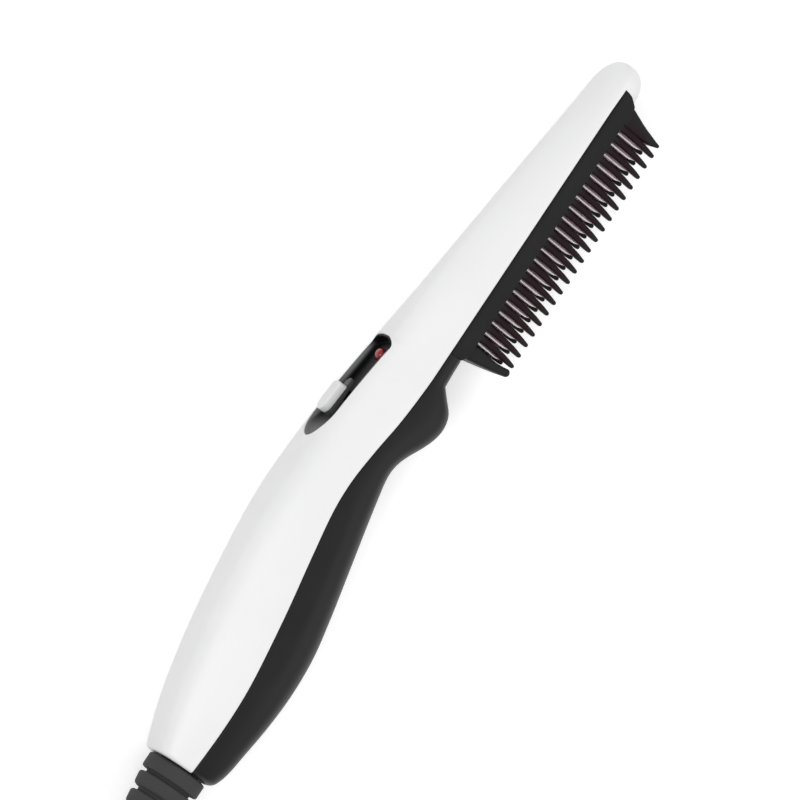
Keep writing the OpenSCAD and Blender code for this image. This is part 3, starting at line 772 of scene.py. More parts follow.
@dataclass(frozen=True)
class Studio:
    """Pale floor, even sky and soft lamps at a plain level.

    A lamp is its name, its place in m, its width in m and its power in W.
    """

    sky: float = 0.5
    paper: Colour = (0.82, 0.82, 0.82)
    lift: float = 0.42
    reach: float = 8.0
    sunk: float = 0.0002
    lamps: tuple[tuple[str, Triple, float, float], ...] = (
        ("key", (-0.6, 0.8, 1.7), 1.2, 13.0), ("fill", (1.2, 0.3, 1.3), 1.2, 6.0),
        ("front", (0.2, -1.3, 1.1), 1.2, 5.0))

    def make(self) -> None:
        """Makes the world, the lamps and the floor."""
        self.world()
        for name, where, size, power in self.lamps:
            data = bpy.data.lights.new(name, "AREA")
            data.shape, data.size, data.energy = "DISK", size, power
            lamp = bpy.data.objects.new(name, data)
            lamp.location = where
            lamp.rotation_mode = "QUATERNION"
            lamp.rotation_quaternion = Vector(where).to_track_quat("Z", "Y")
            bpy.context.scene.collection.objects.link(lamp)
        self.floor()

    def world(self) -> None:
        """Even pale sky that is plain white to the camera."""
        world = bpy.data.worlds.new("studio")
        world.use_nodes = True
        nodes, links = world.node_tree.nodes, world.node_tree.links
        path, strength = nodes.new("ShaderNodeLightPath"), nodes.new("ShaderNodeMapRange")
        strength.inputs["To Min"].default_value = self.sky
        strength.inputs["To Max"].default_value = 1.0
        links.new(path.outputs["Is Camera Ray"], strength.inputs["Value"])
        links.new(strength.outputs[0], nodes["Background"].inputs["Strength"])
        nodes["Background"].inputs["Color"].default_value = (1, 1, 1, 1)
        bpy.context.scene.world = world

    def floor(self) -> None:
        """Wide floor whose white is lifted for camera, gloss and clear rays."""
        graph = Graph("floor_paper")
        rays = graph.node("ShaderNodeLightPath", {}, {}).outputs
        seen = Value(graph, rays["Is Camera Ray"])
        for kind in ("Is Glossy Ray", "Is Transmission Ray"):
            seen = seen.maths("MAXIMUM", Value(graph, rays[kind]))
        fibres = graph.noise(3.0, 4.0)
        graph.surface({
            "Base Color": graph.mix(fibres, self.paper, dimmed(self.paper, 1.01)),
            "Roughness": 1.0, "Specular IOR Level": 0.0,
            "Emission Color": (1.0, 1.0, 1.0), "Emission Strength": seen * self.lift,
        })
        corners = [(x * self.reach, y * self.reach, 0)
                   for x, y in ((-1, -1), (1, -1), (1, 1), (-1, 1))]
        mesh = bpy.data.meshes.new("floor")
        mesh.from_pydata(corners, [], [(0, 1, 2, 3)])
        mesh.materials.append(graph.material)
        floor = bpy.data.objects.new("floor", mesh)
        floor.location.z = -self.sunk
        bpy.context.scene.collection.objects.link(floor)


# --- shells ---------------------------------------------------------------------------


FLIP = np.array((1.0, 1.0, -1.0))


@dataclass(frozen=True)
class Outline:
    """Long rounded outline seen from the switch side: x along the comb, w off its middle."""

    x0: float
    x1: float
    half: float
    ends: Span
    powers: Span = (2.2, 2.5)

    def run(self, grow: float = 0.0) -> Pair:
        """One side of the outline, from its -X end to its +X end.

        Each end is a quarter of a superellipse, and a straight line joins them.

        Args:
            grow: how far outside the outline the run lies.

        Returns:
            The places x and the distances w.
        """
        a = np.linspace(0, np.pi / 2, 14)
        near, far = rounded(a, self.powers[0]), rounded(a[::-1], self.powers[1])
        straight = even(self.x0 + self.ends[0], self.x1 - self.ends[1], 1.4)[1:-1]
        x = np.concatenate([self.x0 + self.ends[0] - (self.ends[0] + grow) * near[0], straight,
                            self.x1 - self.ends[1] + (self.ends[1] + grow) * far[0]])
        w = np.concatenate([near[1], np.ones(len(straight)), far[1]]) * (self.half + grow)
        return x, w

    def pad(self, mesh: Mesher, rings: Sequence[Ring]) -> None:
        """Adds a closed pad: rings from its underside up its side, then its two flat skins.

        Args:
            mesh: where the pad goes.
            rings: for each ring how far it grows and its height over (x, w).
        """
        for flip in (1, -1):
            rows = [points3(x, height(x, w), flip * w)
                    for grow, height in rings for x, w in [self.run(grow)]]
            mesh.grid(np.stack(rows))
        for grow, height in (rings[0], rings[-1]):
            x, w = self.run(grow)
            across = w[:, None] * np.linspace(1, -1, 13)
            mesh.grid(points3(x[:, None], height(x[:, None], across), across))


@dataclass(frozen=True)
class Shell:
    """Half of the housing: a hollow skin between the parting line and an outer line.

    Its sections are superellipses of the power square, from edge to crest and side wide, whose
    sides lean in by lean mm for each mm of height. It stands off edge by gap, its rear edge is
    rounded by fillet, and its cavity runs between two places.
    """

    edge: Chain
    crest: Spline | Chain
    side: Chain
    lean: Chain
    square: Chain
    gap: float
    fillet: float
    cavity: Span
    rear: float = -98.0
    wall: float = 2.0
    soft: float = 0.3
    nose_x: float = 127.4
    nose_run: float = 8.9
    nose_power: float = 2.4
    least_rise: float = 1e-6

    def taper(self, x: Array) -> Array:
        """Size of the nose's sections: 1 up to nose_x, then a superellipse down to 0."""
        past = np.clip((x - self.nose_x) / self.nose_run, 0, 1)
        return (1 - past**self.nose_power)**(1 / self.nose_power)

    def sizes(self, x: Array, inset: Array | float) -> tuple[Array, Array, Array, Array]:
        """Sizes of the sections at x: the outer lines, with the inset taken off.

        Args:
            x: places of the sections.
            inset: how far inside the outer skin.

        Returns:
            Edge height, rise to the crest, which never quite ends, half width, and lean.
        """
        low = self.edge.at(x) + self.gap
        rise = (self.crest.at(x) - low) * self.taper(x)
        half = np.minimum(self.side.at(x) * self.taper(x), MID_Z + 0.5) - inset
        rise = np.copysign(np.maximum(np.abs(rise) - inset, self.least_rise), rise)
        return low, rise, half, self.lean.at(x)

    def meet(self, x: Array, w: Array, inset: float = 0.0) -> Pair:
        """Turn and height at which the sections are w off the middle plane.

        The width is u (half - lean rise v) with v = (1 - u^n)^(1/n), solved by substitution.

        Args:
            x: places of the sections.
            w: distances off the middle plane.
            inset: how far inside the outer skin.

        Returns:
            The turns and the heights.
        """
        low, rise, half, lean = self.sizes(x, inset)
        n = self.square.at(x)
        v = np.ones_like(rise * w)
        for _ in range(14):
            u = np.clip(np.abs(w) / (half - lean * np.abs(rise) * v), 0, 1)
            v = (1 - u**n)**(1 / n)
        return np.arctan2(v, u), low + rise * v

    def height(self, x: Array, w: Array) -> Array:
        """Height of the outer skin over (x, w)."""
        return self.meet(x, w)[1]

    def skin(self, x: Array, inset: Array | float, top: Array | float,
             soft: Array | float) -> Array:
        """One side of the skin, from its edge to the turn top.

        The first columns round the edge with the radius soft, and the rest follow the section.

        Args:
            x: places of the sections.
            inset: how far inside the outer skin each lies.
            top: turn of each section's last point.
            soft: radius of the edge.

        Returns:
            (sections, 33, 3) points on the +Z side.
        """
        x, inset, top, soft = (np.broadcast_to(k, x.shape)[:, None] for k in (x, inset, top, soft))
        low, rise, half, lean = self.sizes(x, inset)
        n = self.square.at(x)
        v0 = np.clip(soft / np.abs(rise), 0, 1)
        first = np.arctan2(v0, (1 - v0**n)**(1 / n))
        u, v = rounded(first + (top - first) * np.linspace(0, 1, 28), n)
        z = capped(u * (half - lean * np.abs(rise) * v), MID_Z - inset)
        a = QUARTER[None, :-1]
        edge = points3(x, low + np.sign(rise) * soft * (1 - np.cos(a)),
                       z[:, :1] - soft * (1 - np.sin(a)))
        return np.concatenate([edge, points3(x, low + rise * v, z)], 1)

    def shelf(self, edge: Array, inner: float) -> Array:
        """Flat end of the rim, across the middle, from the end of the shell to its cavity.

        Two lines part each row: they go from its thirds to the cavity's two corners.

        Args:
            edge: (n, 3) points of the outer edge, the cavity's end last.
            inner: half width of the cavity.

        Returns:
            (n, 4, 3) points.
        """
        t = np.linspace(0, 1, len(edge))[:, None]
        half, mid = edge[:, 2:], edge[:, 2:] * (1 - t) / 3 + inner * t
        return points3(edge[:, :1], edge[:, 1:2], np.concatenate([half, mid, -mid, -half], 1))

    def close(self, mesh: Mesher, outer: Array, inner: Array, a: int, b: int, end: int) -> None:
        """Adds both skins, the rims between them and the walls of the cavity.

        Args:
            mesh: where they go.
            outer: the outer skin's rows.
            inner: the inner skin's rows, which lie under rows a to b of the outer.
            a: outer row at the cavity's rear.
            b: outer row at its front.
            end: outer row at which the rim ends.
        """
        for flip in (1, FLIP):
            mesh.grid(outer * flip).grid(inner * flip)
            mesh.ruled(outer[a:b + 1, 0] * flip, inner[:, 0] * flip)
        mesh.ruled(outer[0], outer[0] * FLIP, 3)
        mesh.ruled(inner[0], inner[0] * FLIP).ruled(inner[-1], inner[-1] * FLIP)
        mesh.grid(self.shelf(outer[:a + 1, 0], inner[0, 0, 2]))
        mesh.grid(self.shelf(outer[b:end + 1, 0][::-1], inner[-1, 0, 2]))

    def rear_rows(self) -> Pair:
        """Places and insets of the rows that round the rear edge by a quarter circle."""
        return self.rear + self.fillet * (1 - np.cos(QUARTER)), self.fillet * (1 - np.sin(QUARTER))


@dataclass(frozen=True)
class UpperShell(Shell):
    """White half: the back with the bezel's hole, and the solid nose with its chin.

    The points of chin_line are a depth under the edge and the place of the chin's rear there.
    """

    hole: Outline = Outline(-1.3, 34.6, 7.7, (9.5, 3.8), (2.0, 2.6))
    lip: float = 0.2
    nose: float = 136.3
    chin_x: float = 128.9
    chin_depth: float = 6.5
    chin_line: Chain = Chain(((0, 128.9), (3.2, 128.2), (4.8, 127.0), (6.5, 126.4)))

    def build(self) -> bpy.types.Object:
        """Makes the shell; its rows run from the rear to the nose.

        Along the hole the rows stand at the points of its outline and end on it. Past the chin's
        start they close up towards the nose by a power of a sine.

        Returns:
            The object.
        """
        mesh, fine, coarse, clear = Mesher(), 0.8, 1.5, 0.2
        rx, inset = self.rear_rows()
        hx, hw = self.hole.run(self.lip)
        front = self.nose_x + self.nose_run * np.sin(np.linspace(0, np.pi / 2, 22)[5:])**0.833
        behind = joined(rx, even(rx[-1], self.cavity[0], fine),
                        even(self.cavity[0], hx[0] - clear, coarse))
        ahead = joined(even(hx[-1] + clear, self.cavity[1], coarse),
                       even(self.cavity[1], self.chin_x, fine), front[front > self.chin_x + 0.3])
        x = np.concatenate([behind, hx, ahead])
        inside = x.copy()
        in_hole = slice(len(behind), len(behind) + len(hx))
        inside[in_hole] = self.hole.run(0)[0]
        inset = np.pad(inset, (0, len(x) - len(inset)))
        top, top_inside = np.full(len(x), np.pi / 2), np.full(len(x), np.pi / 2)
        top[in_hole] = self.meet(hx, hw)[0]
        top_inside[in_hole] = self.meet(*self.hole.run(0), self.wall)[0]
        outer = self.skin(x, inset, top, self.soft * (1 - smooth(x, 121, self.chin_x)))
        a, b, end = (int(np.argmin(np.abs(x - k))) for k in (*self.cavity, self.chin_x))
        inner = self.skin(inside[a:b + 1], self.wall, top_inside[a:b + 1], 0.0)
        self.close(mesh, outer, inner, a, b, end)
        first = len(behind) - a
        self.edge_of_hole(mesh, outer[in_hole, -1], inner[first:first + len(hx), -1])
        self.chin(mesh, x[end:])
        return mesh.build("upper_shell_skin", 40)

    def edge_of_hole(self, mesh: Mesher, outer: Array, inner: Array) -> None:
        """Adds the small rounded lip of the hole and the hole's wall.

        Args:
            mesh: where they go.
            outer: the last points of the outer skin, which end on the lip.
            inner: those of the inner skin, at the foot of the wall.
        """
        rows = [outer]
        for a in QUARTER[1:]:
            x, w = self.hole.run(self.lip * (1 - math.sin(a)))
            rows.append(points3(x, self.height(x, w) - self.lip * (1 - math.cos(a)), w))
        for flip in (1, FLIP):
            mesh.grid(np.stack([*rows, inner]) * flip)

    def chin(self, mesh: Mesher, x: Array) -> None:
        """Adds the underside of the nose, which laps round the end of the comb's bar.

        Its sections are superellipses as wide as the nose, and their fronts follow its taper.

        Args:
            mesh: where it goes.
            x: the nose's rows from the chin's start on.
        """
        u, v = rounded(np.linspace(0, np.pi / 2, 20), 2.6)
        start = self.chin_line.at(self.chin_depth * v)
        g = ((x - x[0]) / (self.nose - x[0]))[:, None]
        at = start + (self.nose - start) * g
        low, taper = self.sizes(at, 0)[0], self.taper(at)
        skin = points3(at, low - self.chin_depth * taper * v, self.side.at(at) * taper * u)
        mesh.grid(skin).grid(skin * FLIP).ruled(skin[0], skin[0] * FLIP, 3)


@dataclass(frozen=True)
class LowerShell(Shell):
    """Black half: the front of the handle with the finger hook, and its screw pockets."""

    corner: float = 31.6
    front: float = 39.85

    def build(self) -> bpy.types.Object:
        """Makes the shell; its rows run from the rear to the comb's bar.

        Returns:
            The object.
        """
        mesh, fine, coarse = Mesher(), 0.8, 1.5
        rx, inset = self.rear_rows()
        x = joined(rx, even(rx[-1], self.cavity[0], 0.5), even(self.cavity[0], 0, coarse),
                   even(0, self.corner, fine), even(self.corner, self.cavity[1], fine),
                   even(self.cavity[1], self.front, fine))
        inset = np.interp(x, rx, inset)
        outer = self.skin(x, inset, np.pi / 2, self.soft)
        a, b = (int(np.argmin(np.abs(x - k))) for k in self.cavity)
        inner = self.skin(x[a:b + 1], self.wall, np.pi / 2, 0.0)
        self.close(mesh, outer, inner, a, b, len(x) - 1)
        mesh.ruled(outer[-1], outer[-1] * FLIP, 3)
        return mesh.build("lower_shell_skin", 40)


@dataclass(frozen=True)
class Belly(Chain):
    """Belly line with a crisp corner where the bar of the finger hook starts."""

    corner: float = 31.6
    beyond: Line = Line(((31.6, -6.1), (36, -5.75), (40, -5.6)))

    def at(self, x: Array | float) -> Array:
        """The chain up to the corner, and straight lines past it."""
        return np.where(np.asarray(x) < self.corner, super().at(x), self.beyond.at(x))


def cut(piece: bpy.types.Object, tool: bpy.types.Object) -> None:
    """Takes the tool's volume out of a piece and removes the tool.

    Args:
        piece: the object that is cut.
        tool: the closed object that cuts it.
    """
    modifier = piece.modifiers.new("cut", "BOOLEAN")
    modifier.operation, modifier.solver, modifier.object = "DIFFERENCE", "EXACT", tool
    bpy.context.view_layer.update()
    seen = piece.evaluated_get(bpy.context.evaluated_depsgraph_get())
    result = bpy.data.meshes.new_from_object(seen)
    piece.modifiers.clear()
    piece.data = result
    result.name = piece.name
    bpy.data.objects.remove(tool)


@dataclass(frozen=True)
class Housing:
    """Both shells of the handle and head, with the swivel's bore and the screw pockets."""

    edge: Chain = Chain(((-98, -5.2), (-83, -4.9), (-70, -4), (-48, -1), (-28, 2.5), (-15, 4.5),
                         (-6, 4.7), (5, 3.4), (16, 1.6), (28, 0.5), (36, 0.3), (130, 0.3)))
    back: Spline = Spline(((-98, 5.0), (-90, 7.9), (-70, 13.2), (-45, 17.3), (-22, 19.35),
                           (-4, 19.1), (14, 18.15), (33, 16.2), (53, 14.3), (83, 11.15),
                           (103, 8.65), (116, 6.75), (129, 5.1)))
    belly: Belly = Belly(((-98, -14.6), (-93, -16.4), (-85, -17.4), (-75, -18.5), (-64, -19),
                          (-52, -18.3), (-40, -16), (-28, -13.2), (-17, -10.6), (-5, -7.9),
                          (1, -6.7), (5, -6.8), (9, -8.2), (14, -10.9), (18, -12.6), (22, -13.2),
                          (26, -12), (29.5, -8.4), (31.6, -6.1)))
    side: Chain = Chain(((-98, 10.4), (-90, 11.9), (-78, 13.6), (-62, 14.9), (-45, 15.2),
                         (-28, 15.2), (-12, 14.6), (5, 13.2), (20, 11.8), (32, 11.1), (42, 11),
                         (130, 11)))
    lean: Chain = Chain(((-98, 0.15), (-70, 0.25), (-30, 0.25), (-8, 0.2), (8, 0.15), (18, 0.11),
                         (28, 0.09), (34, 0.12), (42, 0.22), (55, 0.36), (83, 0.5), (115, 0.5),
                         (129, 0.35), (137, 0.35)))
    level: Chain = Chain(((-98, 0.0), (40, 0.0)))
    square: Chain = Chain(((-98, 5.0), (36, 5.0), (60, 4.2), (90, 3.2), (120, 2.7), (137, 2.4)))
    round: Chain = Chain(((-98, 2.7), (40, 2.7)))
    axis_y: float = -4.6
    bore: float = 8.0
    bore_x: float = -99.5
    bore_deep: float = 4.6
    screws: tuple[float, ...] = (-78.0, -22.0, 36.2)
    pocket: float = 2.25

    def upper(self) -> UpperShell:
        """The white shell's shape."""
        return UpperShell(self.edge, self.back, self.side, self.lean, self.square,
                          gap=0.1, fillet=1.0, cavity=(-95.6, 124.0))

    def lower(self) -> LowerShell:
        """The black shell's shape."""
        return LowerShell(self.edge, self.belly, self.side, self.level, self.round,
                          gap=-0.1, fillet=2.0, cavity=(-95.6, 37.9))

    def make(self) -> None:
        """Makes both shells and bores them."""
        upper, lower = self.upper().build(), self.lower().build()
        bore = np.array([(0, 0), (0, self.bore), (self.bore_deep, self.bore), (self.bore_deep, 0)])
        for piece in (upper, lower):
            cut(piece, Mesher().lathe((self.bore_x, self.axis_y, 0), bore).build("bore"))
        for x in self.screws:
            y = float(self.belly.at(x))
            cut(lower, Mesher().post(x, self.pocket, (y - 6, y + 3)).build("pocket"))
        settle(upper, WHITE, Body.COMB, "white_shell", "upper_shell")
        settle(lower, BLACK, Body.COMB, "black_shell", "lower_shell")


# --- comb head ------------------------------------------------------------------------


@dataclass(frozen=True)
class CombHead:
    """Black bar with its slot, two rows of teeth and two end guards, and the heated fins.

    A point of profile is a height and the half width there. The other lines run over -y: outer
    and inner are the faces of the teeth off the middle plane, fin_wide and guard_wide half
    widths, and nose and tail the two edges in x of each guard. Tint is where the teeth carry a
    painted maroon cast: the shaded pink of the fins, painted onto the teeth beside them.
    """

    x0: float = 40.0
    slot: Span = (45.15, 120.45)
    slot_z: float = 6.2
    profile: Points = ((0.2, 10.6), (0.0, 10.8), (-1.0, 10.8), (-1.25, 10.65), (-3.0, 10.0),
                       (-3.2, 9.9), (-5.2, 9.4), (-5.5, 9.1))
    front: Chain = Chain(((0, 128.9), (2.4, 128.4), (4.2, 127.3), (5.5, 126.35)))
    waist: float = 0.74
    pitch: float = 3.56
    count: int = 20
    root: float = 116.25
    root_y: float = -5.5
    lean: float = 1.0
    tip_y: float = -19.7
    outer: Line = Line(((3.9, 9.1), (5.5, 9.0), (20.1, 5.2)))
    inner: Line = Line(((3.9, 6.25), (20.1, 3.4)))
    tooth_edge: float = 0.5
    fin_cast_span: Span = (46.2, 121.15)
    fin: float = 0.54
    fin_wide: Line = Line(((3.6, 5.7), (16.8, 3.6)))
    fin_edge: float = 0.12
    guard_wide: Line = Line(((4.2, 9.1), (5.5, 9.05), (20.1, 5.25)))
    guard_edge: float = 0.9
    nose: tuple[Chain, Chain] = (
        Chain(((4.2, 120.5), (12, 120.2), (17, 120.8), (18.9, 121.4))),
        Chain(((4.2, 126.6), (5.5, 126.3), (8.4, 125.35), (12.7, 124.0), (16.5, 123.1),
               (18.9, 122.5))))
    tail: tuple[Chain, Chain] = (
        Chain(((4.2, 41.2), (5.5, 41.3), (12, 42.4), (17, 43.45), (18.9, 43.9))),
        Chain(((4.2, 45.15), (4.9, 45.2), (6.0, 46.1), (14, 45.7), (17, 46.0), (18.9, 46.3))))

    def across(self, line: Array) -> Array:
        """Rows over the comb, from a line of its skin by the slot's two edges to its mirror."""
        z = line[:, 2:] * (1, 0, 0, -1) + (0, self.slot_z, -self.slot_z, 0)
        return points3(line[:, :1], line[:, 1:2], z)

    def bar(self, mesh: Mesher) -> None:
        """Adds the bar: its two sides, its ends, and the slot that splits it into rails.

        The bar starts thinner, at waist, and reaches its full depth within 2 mm. Its nose end
        follows the line front, which the last rows near in even steps.

        Args:
            mesh: where it goes.
        """
        y, z = np.array(self.profile).T
        stations = joined(even(self.x0, self.slot[0], 1.3), even(*self.slot, 3.6))
        reach = self.front.at(np.clip(-y, 0, -self.root_y))
        ahead = self.slot[1] + np.linspace(0, 1, 7)[1:, None] * (reach - self.slot[1])
        x = np.concatenate([np.broadcast_to(stations[:, None], (len(stations), len(y))), ahead])
        skin = points3(x, y * (self.waist + (1 - self.waist) * smooth(x, self.x0, self.x0 + 2)), z)
        mesh.grid(skin).grid(skin * FLIP)
        a, b = (int(np.argmin(np.abs(x[:, 0] - k))) for k in self.slot)
        for col in (0, -1):
            line = skin[:, col]
            inner = line[a:b + 1] * (1, 1, 0) + (0, 0, self.slot_z)
            for flip in (1, FLIP):
                mesh.ruled(line[a:b + 1] * flip, inner * flip)
            mesh.grid(self.across(line[:a + 1])).grid(self.across(line[b:]))
        top, low = skin[a:b + 1, 0] * (1, 1, 0), skin[a:b + 1, -1] * (1, 1, 0)
        for side in (self.slot_z, -self.slot_z):
            mesh.ruled(top + (0, 0, side), low + (0, 0, side))
        for row in (0, -1):
            corners = [(p[0], p[1], q) for p in (top[row], low[row])
                       for q in (self.slot_z, -self.slot_z)]
            mesh.grid(np.array(corners).reshape(2, 2, 3))
        for row in (0, -1):
            mesh.grid(self.across(skin[row]))

    def blade(self, mesh: Mesher, y: Array, x: Pair, z: Pair, soft: float) -> None:
        """Adds a tapered blade with rounded edges and a rounded tip.

        Each ring is a rectangle whose corners are quarter circles. Past the last height the
        rings draw in as a quarter circle, as wide as the blade's thinner half; a factor just
        under 1 keeps them from meeting in a point.

        Args:
            mesh: where it goes.
            y: heights of its rings, from its root to where the tip's rounding starts.
            x: its two edges along the comb at each height.
            z: its two faces at each height.
            soft: radius of its edges.
        """
        mid_x, mid_z = (x[0] + x[1]) / 2, (z[0] + z[1]) / 2
        half_x, half_z = (x[1] - x[0]) / 2, (z[1] - z[0]) / 2
        tip, short = float(min(half_x[-1], half_z[-1])), 0.98
        a = QUARTER[1:]
        y = np.concatenate([y, y[-1] - tip * np.sin(a)])
        less = np.concatenate([np.zeros(len(mid_x)), tip * (1 - np.cos(a)) * short])
        rings = []
        for k in range(len(y)):
            i = min(k, len(mid_x) - 1)
            hx, hz = half_x[i] - less[k], half_z[i] - less[k]
            r = min(soft, hx, hz) * short
            turn = np.linspace(0, 2 * np.pi, 24, endpoint=False) + np.pi / 24
            cx, cz = np.sign(np.cos(turn)) * (hx - r), np.sign(np.sin(turn)) * (hz - r)
            rings.append(points3(mid_x[i] + cx + r * np.cos(turn), y[k],
                                 mid_z[i] + cz + r * np.sin(turn)))
        mesh.loft(np.stack(rings))

    def leaning(self, k: int, y: Array) -> Array:
        """Middle of tooth k at height y: its tip stands behind its root."""
        return (self.root - self.pitch * k
                - self.lean * (y - self.root_y) / (self.tip_y - self.root_y))

    def teeth(self, mesh: Mesher) -> None:
        """Adds both rows: each blade leans to the middle plane and thins to its tip.

        A half sine bows its faces out and hollows its tail edge, and high powers of the way to
        the tip draw its edges in there. The first tooth of each row, number -1, stands against
        the nose guard.

        Args:
            mesh: where they go.
        """
        y = np.linspace(-3.9, self.tip_y + 0.5, 16)
        t = np.clip((y - self.root_y) / (self.tip_y - self.root_y), 0, 1)
        sine = np.sin(np.pi * t)
        tail = 0.95 - 0.22 * sine - 0.37 * t**6
        nose = 1.0 + 0.12 * sine - 0.5 * t**5
        outer, inner = self.outer.at(-y), self.inner.at(-y)
        bow = 0.25 * sine
        for k in range(-1, self.count):
            x = self.leaning(k, y)
            for side in (1, -1):
                faces = np.sort(np.stack([side * (outer + bow), side * (inner + bow)]), 0)
                self.blade(mesh, y, (x - tail, x + nose), (faces[0], faces[1]), self.tooth_edge)

    def guards(self, mesh: Mesher) -> None:
        """Adds the two end guards, as wide as both rows, each between two lines of x over -y.

        Args:
            mesh: where they go.
        """
        y = np.linspace(-4.2, self.tip_y + 0.8, 16)
        wide = self.guard_wide.at(-y)
        for low, high in (self.nose, self.tail):
            self.blade(mesh, y, (low.at(-y), high.at(-y)), (-wide, wide), self.guard_edge)

    def heater(self, mesh: Mesher) -> None:
        """Adds the plate and its tapered fins, one at each tooth, between the two rows.

        Args:
            mesh: where they go.
        """
        mesh.block((self.slot[0] + 0.45, self.slot[1] - 0.45), (-4.6, -2.6), 5.9)
        y = np.linspace(-4.4, -16.0, 12)
        wide = self.fin_wide.at(-y)
        for k in range(-1, self.count):
            x = self.leaning(k, y)
            self.blade(mesh, y, (x - self.fin, x + self.fin), (-wide, wide), self.fin_edge)

    def painted_fin_cast(self, p: Array) -> Array:
        """Where the teeth get a painted maroon cast, the shaded pink of the fins beside them: on
        the teeth between the guards, save their tips.
        """
        along = (p[:, 0] > self.fin_cast_span[0]) * (p[:, 0] < self.fin_cast_span[1])
        return smooth(-p[:, 1], 5.6, 7.5) * smooth(p[:, 1], -18.5, -15.5) * along

    def make(self) -> None:
        """Makes the comb and the heater's visible part."""
        comb = Mesher()
        self.bar(comb)
        self.teeth(comb)
        self.guards(comb)
        body = comb.build("comb_body", 40)
        # paints the fins' shaded pink onto the teeth beside them as a maroon cast
        mark(body, self.painted_fin_cast)
        settle(body, TINES, Body.COMB, "black_comb", "comb_frame")
        heater = Mesher()
        self.heater(heater)
        settle(heater.build("heater_fins", 40), PINK, Body.COMB, "coated_metal", "heating_plate")


# --- switch ---------------------------------------------------------------------------


